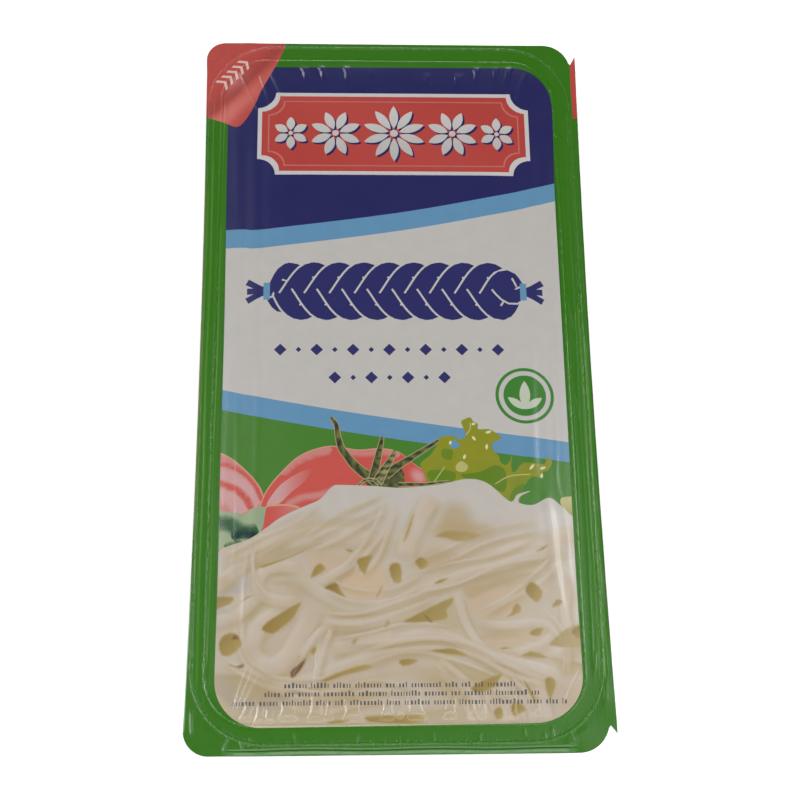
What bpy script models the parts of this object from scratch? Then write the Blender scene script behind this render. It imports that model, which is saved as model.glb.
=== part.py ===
"""A sealed retail pack of string cheese, lying flat with its printed film upwards.

A shallow formed tray holds the cheese, and a lidding film is sealed over its flange.  One die has cut both
to the same outline: rounded corners on the left, and on the right two punched corners that stop short of the
trimmed side and leave a thin spike each.

Metres, +Z up.  X runs across the pack and Y along it, with +Y towards the top of the print.  The origin is on
the flat base, under the middle of the pack's outline.
"""

import math

import bmesh
import bpy

MM = 0.001

# Outline of the pack, as the die cuts it
WIDTH = 110.0 * MM
LENGTH = 208.0 * MM
WAIST = 1.0 * MM                 # how far each long side bows inwards at mid length
LEFT_CORNER_TOP = 5.8 * MM
LEFT_CORNER_BOTTOM = 6.5 * MM
PUNCH_RADIUS = 8.0 * MM          # the right-hand corner punches
PUNCH_INSET = 10.0 * MM          # centre of each punched arc, in from the right side
PUNCH_STOP = 14                  # degrees from the X axis where the arc turns into the notch
NOTCH_INSET = 1.7 * MM           # bottom of the notch beside each spike, in from the right side
NOTCH_DEPTH = 6.8 * MM           # and down from the end of the pack
SPIKE_DEPTH_TOP = 3.8 * MM       # how far each spike's tip stays short of the end of the pack
SPIKE_DEPTH_BOTTOM = 4.8 * MM
SPIKE_INSET = 0.15 * MM

# Heights
FLANGE_TOP = 20.6 * MM           # sealed film on the flange, above the surface
CROWN = 2.0 * MM                 # how far the film stands above the flange in the middle
CROWN_RUN = 26.0 * MM            # how far in from the rim the film reaches that height
CROWN_POWER = 2.4
FILM_THICK = 0.35 * MM
FLANGE_THICK = 0.7 * MM
GAP = 0.3 * MM                   # left between the film and the tray

# Cavity rim, where the tray's wall meets the flange: the cavity lies a little left of and above the middle
RIM_CENTRE = (-1.2 * MM, 0.7 * MM)
RIM_HALF_X = 48.5 * MM
RIM_HALF_Y = 97.0 * MM
RIM_RADIUS = 12.0 * MM
RADIUS_GROWTH = 0.35             # change of corner radius for each unit from the rim out to the seal's edge,
RADIUS_SHRINK = 2.0              # for each unit beyond it, where the rings turn square,
RADIUS_INWARDS = 0.3             # and for each unit inside the rim

# Relief of the sealed flange, by distance outside the rim
SEAL_RIDGE_AT = 4.5 * MM
SEAL_RIDGE_WIDTH = 0.6 * MM
SEAL_RIDGE_HIGH = 0.3 * MM
CREASE_AT = 6.2 * MM
CREASE_DEEP = 0.3 * MM
LIP_AT = 7.9 * MM
LIP_DROP = 0.8 * MM
LIP_HALF_X = 41.0 * MM           # the crease and lip run between the corners only,
LIP_FADE = 5.0 * MM

# How each ring of points is divided
CORNER_STEPS = 6
LONG_STEPS = 8
SHORT_STEPS = 5
SIDE_STEPS = 12                  # points along each bowed side of the die
ARC_STEPS = 7
DIE_HALF_HEIGHT = 30.0 * MM
WELD = 0.01 * MM                 # joins the loose caps of the die's outline to its sides
SMOOTH_ANGLE = math.radians(35)

# Rings of the film, by distance outside the rim: the first lies outside the die
FILM_OFFSETS = [offset * MM for offset in
                (10.0, 7.9, 7.0, 6.2, 5.1, 4.5, 3.9, 0.4, -0.8, -3.0, -7.0, -12.0, -18.0, -26.0, -38.0)]

# The tray's outer wall from the base up to the flange: distance outside the rim, and height
WALL_PROFILE = [(offset * MM, height * MM) for offset, height in (
    (-36.0, 0.0), (-10.6, 0.0), (-8.6, 0.3), (-6.9, 1.3), (-5.8, 2.9), (-5.3, 5.0),
    (-3.4, 14.2), (-2.4, 14.9), (-1.9, 16.0), (-1.2, 18.4), (-0.4, 19.25))]


def clear_scene():
    for thing in list(bpy.data.objects):
        bpy.data.objects.remove(thing, do_unlink=True)


def new_collection(name):
    group = bpy.data.collections.new(name)
    bpy.context.scene.collection.children.link(group)
    return group


def material(name, colour, roughness):
    finish = bpy.data.materials.new(name)
    finish.use_nodes = True
    shader = finish.node_tree.nodes["Principled BSDF"]
    shader.inputs["Base Color"].default_value = (*colour, 1.0)
    shader.inputs["Roughness"].default_value = roughness
    shader.inputs["Metallic"].default_value = 0.0
    return finish


def arc(centre, radius, start, end, steps):
    """Points on an arc, with both ends, from start to end in degrees."""
    points = []
    for step in range(steps + 1):
        angle = math.radians(start + (end - start) * step / steps)
        points.append((centre[0] + radius * math.cos(angle), centre[1] + radius * math.sin(angle)))
    return points


def straight(start, end, steps):
    """Points strictly between two ends."""
    return [(start[0] + (end[0] - start[0]) * step / steps, start[1] + (end[1] - start[1]) * step / steps)
            for step in range(1, steps)]


# Height of the film

def rim_distance(x, y):
    """Distance outside the cavity's rim, negative over the cavity."""
    across = abs(x - RIM_CENTRE[0]) - (RIM_HALF_X - RIM_RADIUS)
    along = abs(y - RIM_CENTRE[1]) - (RIM_HALF_Y - RIM_RADIUS)
    outside = math.hypot(max(across, 0.0), max(along, 0.0))
    return outside + min(max(across, along), 0.0) - RIM_RADIUS


def crown_height(distance):
    """The film bulges quickly behind the rim and is nearly flat in the middle."""
    if distance >= 0.0:
        return 0.0
    inward = min(-distance / CROWN_RUN, 1.0)
    return CROWN * (1.0 - (1.0 - inward) ** CROWN_POWER)


def flange_relief(x, offset):
    """Height of the embossed flange: a ridge all round, and beyond it a crease and a down-turned lip."""
    ridge = SEAL_RIDGE_HIGH * max(0.0, 1.0 - abs(offset - SEAL_RIDGE_AT) / SEAL_RIDGE_WIDTH)
    if offset <= SEAL_RIDGE_AT + SEAL_RIDGE_WIDTH:
        return ridge
    if offset < CREASE_AT:
        reach = (offset - SEAL_RIDGE_AT - SEAL_RIDGE_WIDTH) / (CREASE_AT - SEAL_RIDGE_AT - SEAL_RIDGE_WIDTH)
        drop = CREASE_DEEP * reach
    else:
        reach = min((offset - CREASE_AT) / (LIP_AT - CREASE_AT), 1.0)
        drop = CREASE_DEEP + (LIP_DROP - CREASE_DEEP) * reach
    return -drop * end_share(x)


def end_share(x):
    """1 between the corners and 0 at them."""
    past = (abs(x) - LIP_HALF_X) / LIP_FADE
    return 1.0 - min(max(past, 0.0), 1.0)


def on_an_end(y):
    return abs(y - RIM_CENTRE[1]) > RIM_HALF_Y


def film_height(x, y, offset):
    """Top of the film at a point of the ring that lies offset outside the rim."""
    if offset > 0.0:
        lip_x = x if on_an_end(y) else LIP_HALF_X + LIP_FADE
        return FLANGE_TOP + flange_relief(lip_x, offset)
    return FLANGE_TOP + crown_height(rim_distance(x, y))


# Rings and lofts

def ring_radius(offset):
    if offset < 0.0:
        return RIM_RADIUS + RADIUS_INWARDS * offset
    beyond_seal = max(offset - SEAL_RIDGE_AT, 0.0)
    return RIM_RADIUS + RADIUS_GROWTH * min(offset, SEAL_RIDGE_AT) - RADIUS_SHRINK * beyond_seal


def ring(offset):
    """A rounded rectangle round the cavity, anticlockwise from the right end of the bottom side."""
    half_x = RIM_HALF_X + offset
    half_y = RIM_HALF_Y + offset
    radius = ring_radius(offset)
    mid_x, mid_y = RIM_CENTRE
    corners = []
    for sign_x, sign_y, start in ((1, -1, -90), (1, 1, 0), (-1, 1, 90), (-1, -1, 180)):
        centre = (mid_x + sign_x * (half_x - radius), mid_y + sign_y * (half_y - radius))
        corners.append(arc(centre, radius, start, start + 90, CORNER_STEPS))
    points = []
    for index, corner in enumerate(corners):
        steps = LONG_STEPS if index % 2 == 0 else SHORT_STEPS
        points += corner + straight(corner[-1], corners[(index + 1) % 4][0], steps)
    return points


def add_ring(mesh, offset, height):
    """height is a number, or a function of x, y and the offset."""
    points = ring(offset)
    return [mesh.verts.new((x, y, height(x, y, offset) if callable(height) else height)) for x, y in points]


def join_rings(mesh, rings):
    """Faces between one ring and the next, facing left of the way that the rings run."""
    for first, second in zip(rings, rings[1:]):
        count = len(first)
        for index in range(count):
            following = (index + 1) % count
            mesh.faces.new((first[index], first[following], second[following], second[index]))


def finish_object(name, mesh, group, finish):
    data = bpy.data.meshes.new(name)
    mesh.to_mesh(data)
    mesh.free()
    data.materials.append(finish)
    thing = bpy.data.objects.new(name, data)
    group.objects.link(thing)
    return thing


# The die that cuts both webs

def bowed_side(sign, start_y, end_y):
    """A long side from start_y to end_y, pulled in at mid length."""
    points = []
    for step in range(SIDE_STEPS + 1):
        y = start_y + (end_y - start_y) * step / SIDE_STEPS
        along = y / (LENGTH / 2)
        points.append((sign * (WIDTH / 2 - WAIST * (1.0 - along * along)), y))
    return points


def punched_corner(sign_y, spike_depth):
    """A right-hand corner, from the end of the pack to the tip of the spike."""
    right = WIDTH / 2
    end = LENGTH / 2
    centre = (right - PUNCH_INSET, sign_y * (end - PUNCH_RADIUS))
    points = arc(centre, PUNCH_RADIUS, sign_y * 90, sign_y * PUNCH_STOP, ARC_STEPS)
    points.append((right - NOTCH_INSET, sign_y * (end - NOTCH_DEPTH)))
    points.append((right - SPIKE_INSET, sign_y * (end - spike_depth)))
    return points


def die_outline():
    left = -WIDTH / 2
    end = LENGTH / 2
    bottom_right = punched_corner(-1, SPIKE_DEPTH_BOTTOM)
    top_right = punched_corner(1, SPIKE_DEPTH_TOP)
    right_side = bowed_side(1, -end + NOTCH_DEPTH, end - NOTCH_DEPTH)
    top_left = arc((left + LEFT_CORNER_TOP, end - LEFT_CORNER_TOP), LEFT_CORNER_TOP, 90, 180, ARC_STEPS)
    left_side = bowed_side(-1, end - LEFT_CORNER_TOP, -end + LEFT_CORNER_BOTTOM)
    bottom_left = arc((left + LEFT_CORNER_BOTTOM, -end + LEFT_CORNER_BOTTOM), LEFT_CORNER_BOTTOM,
                      180, 270, ARC_STEPS)
    return bottom_right + right_side + top_right[::-1] + top_left + left_side[1:-1] + bottom_left


def make_die(group):
    """The outline as a filled flat curve, given depth and turned into a mesh that a Boolean can use."""
    curve = bpy.data.curves.new("die_outline", "CURVE")
    curve.dimensions = "2D"
    curve.fill_mode = "BOTH"
    curve.extrude = DIE_HALF_HEIGHT
    outline = die_outline()
    spline = curve.splines.new("POLY")
    spline.points.add(len(outline) - 1)
    for point, (x, y) in zip(spline.points, outline):
        point.co = (x, y, 0.0, 1.0)
    spline.use_cyclic_u = True
    drawn = bpy.data.objects.new("die_outline", curve)
    group.objects.link(drawn)
    bpy.context.view_layer.update()
    data = bpy.data.meshes.new_from_object(drawn.evaluated_get(bpy.context.evaluated_depsgraph_get()))
    mesh = bmesh.new()
    mesh.from_mesh(data)
    bmesh.ops.remove_doubles(mesh, verts=mesh.verts, dist=WELD)
    bmesh.ops.recalc_face_normals(mesh, faces=mesh.faces)
    mesh.to_mesh(data)
    mesh.free()
    die = bpy.data.objects.new("die", data)
    die.matrix_world = drawn.matrix_world
    die.hide_render = True
    die.display_type = "WIRE"
    group.objects.link(die)
    bpy.data.objects.remove(drawn, do_unlink=True)
    return die


def cut_to_outline(thing, die):
    """Keeps what lies inside the die, with the round parts shaded smooth.

    The solver is MANIFOLD, because EXACT loses points that lie in line on the flat middle faces.
    """
    cut = thing.modifiers.new("cut_to_outline", "BOOLEAN")
    cut.operation = "INTERSECT"
    cut.solver = "MANIFOLD"
    cut.object = die
    thing.data.shade_smooth()
    thing.data.set_sharp_from_angle(angle=SMOOTH_ANGLE)


# The two pieces

def make_tray(group, die, finish):
    """The formed tray with the cheese inside it, as one opaque solid with its flange."""
    mesh = bmesh.new()
    underside = FLANGE_TOP - FILM_THICK - GAP - FLANGE_THICK

    def under_flange(x, y, offset):
        return film_height(x, y, offset) - FLANGE_TOP + underside

    def under_film(x, y, offset):
        return film_height(x, y, offset) - FILM_THICK - GAP

    rings = [add_ring(mesh, offset, height) for offset, height in WALL_PROFILE]
    flange_offsets = [offset for offset in FILM_OFFSETS if offset > WALL_PROFILE[-1][0]]
    rings += [add_ring(mesh, offset, under_flange) for offset in reversed(flange_offsets)]
    rings += [add_ring(mesh, offset, under_film) for offset in FILM_OFFSETS]
    join_rings(mesh, rings)
    mesh.faces.new(rings[0][::-1])
    mesh.faces.new(rings[-1])
    tray = finish_object("tray", mesh, group, finish)
    cut_to_outline(tray, die)
    return tray


def make_film(group, die, finish):
    """The lidding film: an open crowned sheet, thickened downwards."""
    mesh = bmesh.new()
    rings = [add_ring(mesh, offset, film_height) for offset in FILM_OFFSETS]
    join_rings(mesh, rings)
    mesh.faces.new(rings[-1])
    film = finish_object("lid_film", mesh, group, finish)
    shell = film.modifiers.new("thickness", "SOLIDIFY")
    shell.thickness = FILM_THICK
    shell.offset = -1.0
    cut_to_outline(film, die)
    return film


def main():
    clear_scene()
    pack = new_collection("string_cheese_pack")
    cutters = new_collection("cutters")
    milky_plastic = material("milky_tray_plastic", (0.62, 0.62, 0.60), 0.35)
    printed_film = material("printed_lidding_film", (0.055, 0.185, 0.025), 0.28)
    die = make_die(cutters)
    make_tray(pack, die, milky_plastic)
    make_film(pack, die, printed_film)


main()
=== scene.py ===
"""Looks of a sealed tray pack of string cheese: printed lidding film, formed tray, floor, lights and camera.

The drawing functions work in millimetres, on the frame's own axes, and MM turns them into the scene's metres.
The film is one mesh whose edges follow every edge of its print.  Its colours come from shapes painted one
over another, and its height from one function of x and y, so the print runs over the folds as ink does.
"""
import math
import random

import bmesh
import bpy
import numpy as np
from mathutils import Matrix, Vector
from mathutils.geometry import delaunay_2d_cdt


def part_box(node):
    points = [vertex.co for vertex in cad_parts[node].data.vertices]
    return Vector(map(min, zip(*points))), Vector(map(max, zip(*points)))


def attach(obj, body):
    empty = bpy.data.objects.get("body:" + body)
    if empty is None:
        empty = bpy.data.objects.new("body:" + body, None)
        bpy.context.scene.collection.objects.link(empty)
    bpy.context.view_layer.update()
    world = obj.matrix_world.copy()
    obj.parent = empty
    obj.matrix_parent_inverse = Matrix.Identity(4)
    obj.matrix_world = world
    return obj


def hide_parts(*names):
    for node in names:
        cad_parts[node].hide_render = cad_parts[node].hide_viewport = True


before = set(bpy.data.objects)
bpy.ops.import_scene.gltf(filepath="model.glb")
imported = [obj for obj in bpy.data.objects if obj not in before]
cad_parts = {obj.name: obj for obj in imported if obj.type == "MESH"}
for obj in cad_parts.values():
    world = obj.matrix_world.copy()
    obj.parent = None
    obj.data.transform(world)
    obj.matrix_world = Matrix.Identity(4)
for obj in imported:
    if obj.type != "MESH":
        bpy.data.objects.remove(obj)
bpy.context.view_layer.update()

MM = 0.001
BODY = "root"

# Sizes read from the frame
LID_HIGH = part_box("lid_film")[1]
HALF_LENGTH = LID_HIGH[1] / MM
CROWN_TOP = LID_HIGH[2] / MM

# Outline of the pack, as the die cuts it
HALF_WIDTH = 55.0
WAIST = 1.0
LEFT_CORNER_TOP = 5.8
LEFT_CORNER_BOTTOM = 6.5
PUNCH_RADIUS = 8.0
PUNCH_INSET = 10.0
PUNCH_STOP = 14
NOTCH_INSET = 1.7
NOTCH_DEPTH = 6.8
SPIKE_INSET = 0.15
SPIKE_DEPTH_TOP = 3.8
SPIKE_DEPTH_BOTTOM = 4.8

# Heights of the film
FLANGE_TOP = 20.6
CROWN_SHARE = 0.94               # the rest of the crown's height is for the film's folds
CROWN = CROWN_SHARE * (CROWN_TOP - FLANGE_TOP)
CROWN_RUN = 26.0
CROWN_POWER = 2.4
RIM_SOFTNESS = 0.7
FILM_THICK = 0.16
EDGE_LIFT = 0.3                  # how far a fold may lift the cut edge
BACK_DEPTH = 0.35                # the film's back, below its plain height
SEAT_GAP = 0.06                  # between the film's edge and the flange
FLANGE_THICK = 0.6

# The cavity's rim and the outer edge of the seal: centre x, centre y, half width, half length, corner radius
RIM = (-1.2, 0.7, 48.5, 97.0, 12.5)
SEAL = (-0.7, 0.7, 52.9, 101.9, 19.0)
SEAL_RIDGE = (0.12, 0.28)        # height and half width
LAND_RIDGE = (0.12, 0.28)
LAND_AT = 0.25                   # the land's ridge, outside the rim
CREASE_Y = -102.55
CREASE_DEEP = 0.22
CREASE_WIDE = 0.22
LIP_HALF_X = 41.0
LIP_FADE = 5.0
LIP_DROP = 0.55
LIP_RUN = 1.6

# The printed panel inside the green border
PANEL = (-0.35, -0.5, 46.95, 96.3)
PANEL_CORNERS = ((12.6, 11.9), (10.95, 13.3), (11.0, 12.0), (12.0, 12.0))

# Spacing of the film's grid of points: the fine zones hold the folds
FINE = 0.42
MEDIUM = 0.55
COARSE = 0.9
ROW = 1.2
END_ROW = 0.36
END_ZONE = 9.0
PICTURE_GRID = 0.58
TOP_GRID_X = 0.50
TOP_GRID_Y = 0.55
BACK_GRID = 4.0
CALM_LEFT = -37.0                # the calm middle, coarse, lies between these
CALM_RIGHT = 33.0
FOLDS_RIGHT = 45.0
PICTURE_ENDS = (-96.2, -34.0)    # the printed picture's zone, in y
TOP_PLEATS = 42.0                # the zone of the upper end's pleats: half width, and ends in y
TOP_PLEAT_ENDS = (92.0, 97.2)
SLOPE_STEP = 0.06


def smoothstep(value):
    value = np.clip(value, 0.0, 1.0)
    return value * value * (3.0 - 2.0 * value)


def rounded_distance(x, y, box):
    """Distance outside a rounded rectangle, negative inside it."""
    mid_x, mid_y, half_x, half_y, radius = box
    across = np.abs(x - mid_x) - (half_x - radius)
    along = np.abs(y - mid_y) - (half_y - radius)
    outside = np.hypot(np.maximum(across, 0.0), np.maximum(along, 0.0))
    return outside + np.minimum(np.maximum(across, along), 0.0) - radius


def arc(centre, radius, start, end, steps):
    angles = np.radians(np.linspace(start, end, steps + 1))
    return [(centre[0] + radius * math.cos(a), centre[1] + radius * math.sin(a)) for a in angles]


def rounded_outline(box, steps=14):
    mid_x, mid_y, half_x, half_y, radius = box
    return cornered_outline((mid_x, mid_y, half_x, half_y), [(radius, radius)] * 4, steps)


def cornered_outline(box, radii, steps=14):
    """A rectangle with corner radii in x and y at lower right, upper right, upper left and lower left."""
    mid_x, mid_y, half_x, half_y = box
    points = []
    places = ((1, -1, -90), (1, 1, 0), (-1, 1, 90), (-1, -1, 180))
    for (sign_x, sign_y, start), (radius_x, radius_y) in zip(places, radii):
        centre_x = mid_x + sign_x * (half_x - radius_x)
        centre_y = mid_y + sign_y * (half_y - radius_y)
        for x, y in arc((0.0, 0.0), 1.0, start, start + 90, steps):
            points.append((centre_x + radius_x * x, centre_y + radius_y * y))
    return points


def panel_outline():
    """The panel's sides spread a little towards its upper end, and its ends are not quite square."""
    box_corners = cornered_outline(PANEL, PANEL_CORNERS)
    mid_x, _, half_x, _ = PANEL
    right_side = [(mid_x + half_x, y) for y in np.linspace(-80.0, 78.0, 26)]
    left_side = [(mid_x - half_x, y) for y in np.linspace(78.0, -80.0, 26)]
    corner = len(box_corners) // 4
    ring = (box_corners[:corner] + right_side + box_corners[corner:3 * corner] + left_side
            + box_corners[3 * corner:])
    points = []
    for x, y in ring:
        if x < 0.0:
            x -= 0.17 * smoothstep((y + 60.0) / 40.0) + 0.8 * smoothstep((y - 5.0) / 85.0)
            x -= 0.1 * smoothstep((-60.0 - y) / 25.0)
        else:
            x += 0.65 * smoothstep((y - 50.0) / 30.0) + 0.3 * smoothstep((-60.0 - y) / 25.0) - 0.1
        if y < 0.0:
            y += 0.58 * smoothstep((x + 30.0) / 34.0) - 0.3
        else:
            y += 0.3 * smoothstep((x + 10.0) / 40.0) - 0.2
        points.append((x, y))
    return points


def smooth_line(points, steps=8, closed=False):
    """A smooth curve through the points (Catmull-Rom)."""
    given = [np.array(p, float) for p in points]
    if closed:
        given = [given[-1]] + given + given[:2]
    else:
        given = [2 * given[0] - given[1]] + given + [2 * given[-1] - given[-2]]
    curve = []
    for before, start, end, after in zip(given, given[1:], given[2:], given[3:]):
        for step in range(steps):
            t = step / steps
            square = 2 * before - 5 * start + 4 * end - after
            cube = 3 * start - before - 3 * end + after
            curve.append(0.5 * (2 * start + (end - before) * t + square * t ** 2 + cube * t ** 3))
    if not closed:
        curve.append(given[-2])
    return [tuple(p) for p in curve]


def blob(points, steps=4):
    """A smooth closed outline through the points."""
    return smooth_line(points, steps, closed=True)


# Outline of the die

def bowed_side(sign, start_y, end_y, steps=40):
    ys = np.linspace(start_y, end_y, steps + 1)
    return [(sign * (HALF_WIDTH - WAIST * (1.0 - (y / HALF_LENGTH) ** 2)), y) for y in ys]


def punched_corner(sign_y, spike_depth):
    centre = (HALF_WIDTH - PUNCH_INSET, sign_y * (HALF_LENGTH - PUNCH_RADIUS))
    points = arc(centre, PUNCH_RADIUS, sign_y * 90, sign_y * PUNCH_STOP, 14)
    points.append((HALF_WIDTH - NOTCH_INSET, sign_y * (HALF_LENGTH - NOTCH_DEPTH)))
    points.append((HALF_WIDTH - SPIKE_INSET, sign_y * (HALF_LENGTH - spike_depth)))
    return points


def left_corner(sign_y, radius, start):
    return arc((-HALF_WIDTH + radius, sign_y * (HALF_LENGTH - radius)), radius, start, start + 90, 12)


def die_outline():
    left_side = bowed_side(-1, HALF_LENGTH - LEFT_CORNER_TOP, -HALF_LENGTH + LEFT_CORNER_BOTTOM)
    right_side = bowed_side(1, -HALF_LENGTH + NOTCH_DEPTH, HALF_LENGTH - NOTCH_DEPTH)
    right = punched_corner(-1, SPIKE_DEPTH_BOTTOM) + right_side + punched_corner(1, SPIKE_DEPTH_TOP)[::-1]
    return (right + left_corner(1, LEFT_CORNER_TOP, 90) + left_side[1:-1]
            + left_corner(-1, LEFT_CORNER_BOTTOM, 180))


# Height of the film

# Long creases over the cavity: start x, y, end x, y, height and width
LONG_CREASES = (
    (-42.6, 16.0, -43.3, -80.0, 0.19, 1.3),
    (-38.5, 10.0, -37.9, -38.0, 0.25, 1.4),
    (-37.9, -23.6, -40.4, -82.0, 0.24, 1.3),
    (-43.2, 52.0, -43.9, 2.0, 0.05, 0.8),
    (-38.6, 50.0, -39.2, 4.0, 0.05, 0.8),
    (37.4, 22.0, 37.0, -42.0, 0.27, 1.8),
    (37.0, -23.0, 44.2, -80.0, 0.27, 1.8),
    (42.8, 12.0, 42.9, -46.0, 0.11, 1.0),
    (42.9, -28.0, 45.4, -66.0, 0.11, 1.0),
    (-45.3, 94.6, -38.3, 77.5, 0.16, 0.32),
    (-39.5, 93.9, -34.5, 77.7, 0.15, 0.32),
    (-37.2, 95.4, -30.3, 78.9, 0.15, 0.32),
    (41.4, 96.6, 35.0, 82.7, 0.20, 0.7),
    (34.2, 96.2, 32.8, 86.6, 0.10, 0.4),
    (-20.0, -70.5, -29.4, -87.0, 0.14, 0.36),
    (-20.6, -74.0, -22.4, -90.0, 0.14, 0.36),
    (-38.4, -80.0, -43.0, -94.0, 0.15, 0.36),
    (-37.0, -81.0, -42.4, -94.0, 0.15, 0.36),
    (-35.8, -82.5, -40.6, -92.5, 0.13, 0.34),
    (47.8, -80.0, 41.2, -92.6, -0.12, 0.28),
)

# Short folds of the loose corners and the bottom flange: start x, y, end x, y, height and width
CORNER_FOLDS = (
    (-53.0, -91.6, -52.6, -99.6, 0.20, 0.42),
    (-43.6, -98.6, -44.9, -103.6, 0.16, 0.34),
    (-40.6, -99.8, -39.8, -103.0, 0.14, 0.34),
    (-38.0, -99.0, -38.4, -102.0, 0.10, 0.30),
    (50.6, -78.0, 50.0, -84.0, 0.18, 0.34),
    (52.8, -83.6, 52.2, -93.0, 0.22, 0.80),
    (42.6, -97.8, 43.6, -102.4, 0.24, 0.90),
    (38.2, -97.0, 38.9, -101.4, 0.14, 0.32),
    (36.2, -98.4, 36.9, -102.0, 0.14, 0.30),
    (31.2, -97.4, 31.4, -100.4, 0.10, 0.28),
    (-51.6, 95.6, -47.4, 100.2, 0.12, 0.7),
    (46.0, 101.0, 50.2, 96.6, 0.10, 0.7),
    (-27.0, -98.0, -26.8, -101.0, 0.08, 0.24),
    (-11.0, -98.4, -11.2, -101.4, 0.08, 0.24),
    (8.0, -98.2, 8.3, -101.2, 0.08, 0.24),
    (20.0, -98.4, 19.8, -101.6, 0.10, 0.24),
    (44.7, 92.6, 47.6, 87.2, 0.10, 0.26),
    (47.9, 24.0, 49.8, 10.0, 0.10, 0.24),
    (48.8, -6.0, 50.0, -16.0, 0.08, 0.22),
)

# Streaks that run along the flange beside the cavity: x at the top, x at the bottom, height and width
FLANGE_STREAKS = (
    (-49.1, -49.4, 0.08, 0.30),
    (-51.9, -52.0, 0.09, 0.32),
    (-53.3, -53.4, 0.07, 0.26),
    (48.6, 48.1, 0.06, 0.30),
    (50.3, 49.8, 0.09, 0.32),
    (51.5, 51.2, 0.10, 0.30),
    (53.2, 53.1, 0.08, 0.26),
)


def streak_place(streak, y):
    top_x, bottom_x = streak[:2]
    straight = bottom_x + (top_x - bottom_x) * ((y + HALF_LENGTH) / (2 * HALF_LENGTH))
    return straight + 0.14 * np.sin(y / 11.0 + top_x) + 0.05 * np.sin(y / 3.1 + bottom_x)


def crease_wander(crease, along, length):
    wander = 0.35 * np.sin(along / 9.0 + crease[0]) + 0.12 * np.sin(along / 3.7 + crease[1])
    return wander * min(1.0, length / 40.0)


def crease_height(x, y, crease):
    """A crest along a nearly straight line, fading out at both ends."""
    x0, y0, x1, y1, high, wide = crease
    run_x, run_y = x1 - x0, y1 - y0
    length = math.hypot(run_x, run_y)
    along = ((x - x0) * run_x + (y - y0) * run_y) / length
    aside = ((x - x0) * run_y - (y - y0) * run_x) / length + crease_wander(crease, along, length)
    fade = smoothstep(along / (0.3 * length)) * smoothstep((length - along) / (0.3 * length))
    return high * fade / (1.0 + (aside / wide) ** 2) ** 1.5


def crease_line(crease, offset):
    """A line that keeps beside a crease's crest, for the film's mesh."""
    x0, y0, x1, y1 = crease[:4]
    run_x, run_y = x1 - x0, y1 - y0
    length = math.hypot(run_x, run_y)
    along = np.linspace(0.0, length, max(4, int(length / 2.2)))
    aside = offset - crease_wander(crease, along, length)
    return [(x0 + (a * run_x + s * run_y) / length, y0 + (a * run_y - s * run_x) / length)
            for a, s in zip(along, aside)]


# Small tongues where the film turns down to the rim at both ends: x, half width, start, length, slant and
# height
PLEATS = {
    -1: ((-39.4, 0.8, 1.4, 6.5, 0.30, 0.26), (-36.0, 0.7, 0.5, 7.0, 0.16, 0.28),
         (-33.3, 0.7, 0.6, 6.0, 0.02, 0.26), (-28.7, 1.3, 1.5, 6.5, 0.04, 0.26),
         (-21.8, 1.1, 1.2, 9.5, 0.10, 0.28), (-18.4, 0.5, 1.6, 8.0, 0.06, 0.24),
         (-12.1, 1.4, 1.3, 7.5, -0.12, 0.28), (-3.5, 0.9, 1.7, 7.0, 0.06, 0.26),
         (-0.4, 0.5, 2.0, 5.0, 0.10, 0.20), (4.0, 1.3, 1.7, 8.0, -0.16, 0.27),
         (12.2, 0.9, 1.9, 8.0, 0.14, 0.27), (17.9, 0.6, 1.9, 6.5, -0.06, 0.26),
         (20.5, 0.6, 1.9, 6.5, 0.08, 0.26), (28.5, 0.5, 1.7, 9.0, 0.02, 0.28),
         (34.6, 0.5, 2.4, 6.0, 0.00, 0.20)),
    1: ((-26.1, 0.6, 2.2, 6.0, 0.20, 0.26), (-20.9, 0.6, 1.9, 6.0, 0.20, 0.28),
        (-13.5, 0.6, 1.9, 6.5, 0.10, 0.27), (-6.5, 0.6, 2.4, 4.5, 0.05, 0.12),
        (10.4, 0.5, 4.6, 4.5, -0.16, 0.16), (19.8, 0.7, 4.6, 6.0, -0.22, 0.20),
        (25.2, 0.6, 2.0, 6.5, -0.05, 0.27), (30.8, 0.6, 1.8, 6.0, 0.00, 0.22),
        (34.8, 0.6, 1.8, 7.0, -0.05, 0.26)),
}
PLEAT_EDGE = 0.34


def pleat_half_width(half, inward, long):
    """A pleat widens slowly towards the cavity and splays out at its foot."""
    return half * (1.0 + 0.4 * inward / long + 0.8 * np.exp(-(np.maximum(inward, 0.0) / 1.3) ** 2))


def pleat_height(x, y):
    total = np.zeros_like(x)
    for end, pleats in PLEATS.items():
        rim_y = RIM[1] + end * RIM[3]
        for middle, half, start, long, slant, high in pleats:
            inward = (rim_y - y) * end - start
            near = (inward > -1.5) & (inward < long) & (np.abs(x - middle) < 6.0)
            if not near.any():
                continue
            reach = inward[near] / long
            aside = x[near] - middle - slant * inward[near]
            half_here = pleat_half_width(half, inward[near], long)
            left_edge = np.tanh((aside + half_here) / PLEAT_EDGE)
            right_edge = np.tanh((aside - half_here) / PLEAT_EDGE)
            ends = smoothstep((inward[near] + 1.2) / 2.2) * smoothstep((1.0 - reach) * 1.6)
            total[near] += high * 0.5 * (left_edge - right_edge) * ends
    return total


def pleat_lines():
    """Lines along the steep sides of the pleats, for the film's mesh."""
    lines = []
    for end, pleats in PLEATS.items():
        rim_y = RIM[1] + end * RIM[3]
        for middle, half, start, long, slant, _ in pleats:
            inward = np.linspace(-1.0, long, max(6, int(long / 0.6)))
            half_here = pleat_half_width(half, inward, long)
            for side in (-1, 1):
                for offset in (-0.6, -0.2, 0.2, 0.6):
                    xs = middle + slant * inward + side * half_here + offset
                    lines.append(list(zip(xs, rim_y - end * (inward + start))))
    return lines


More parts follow.
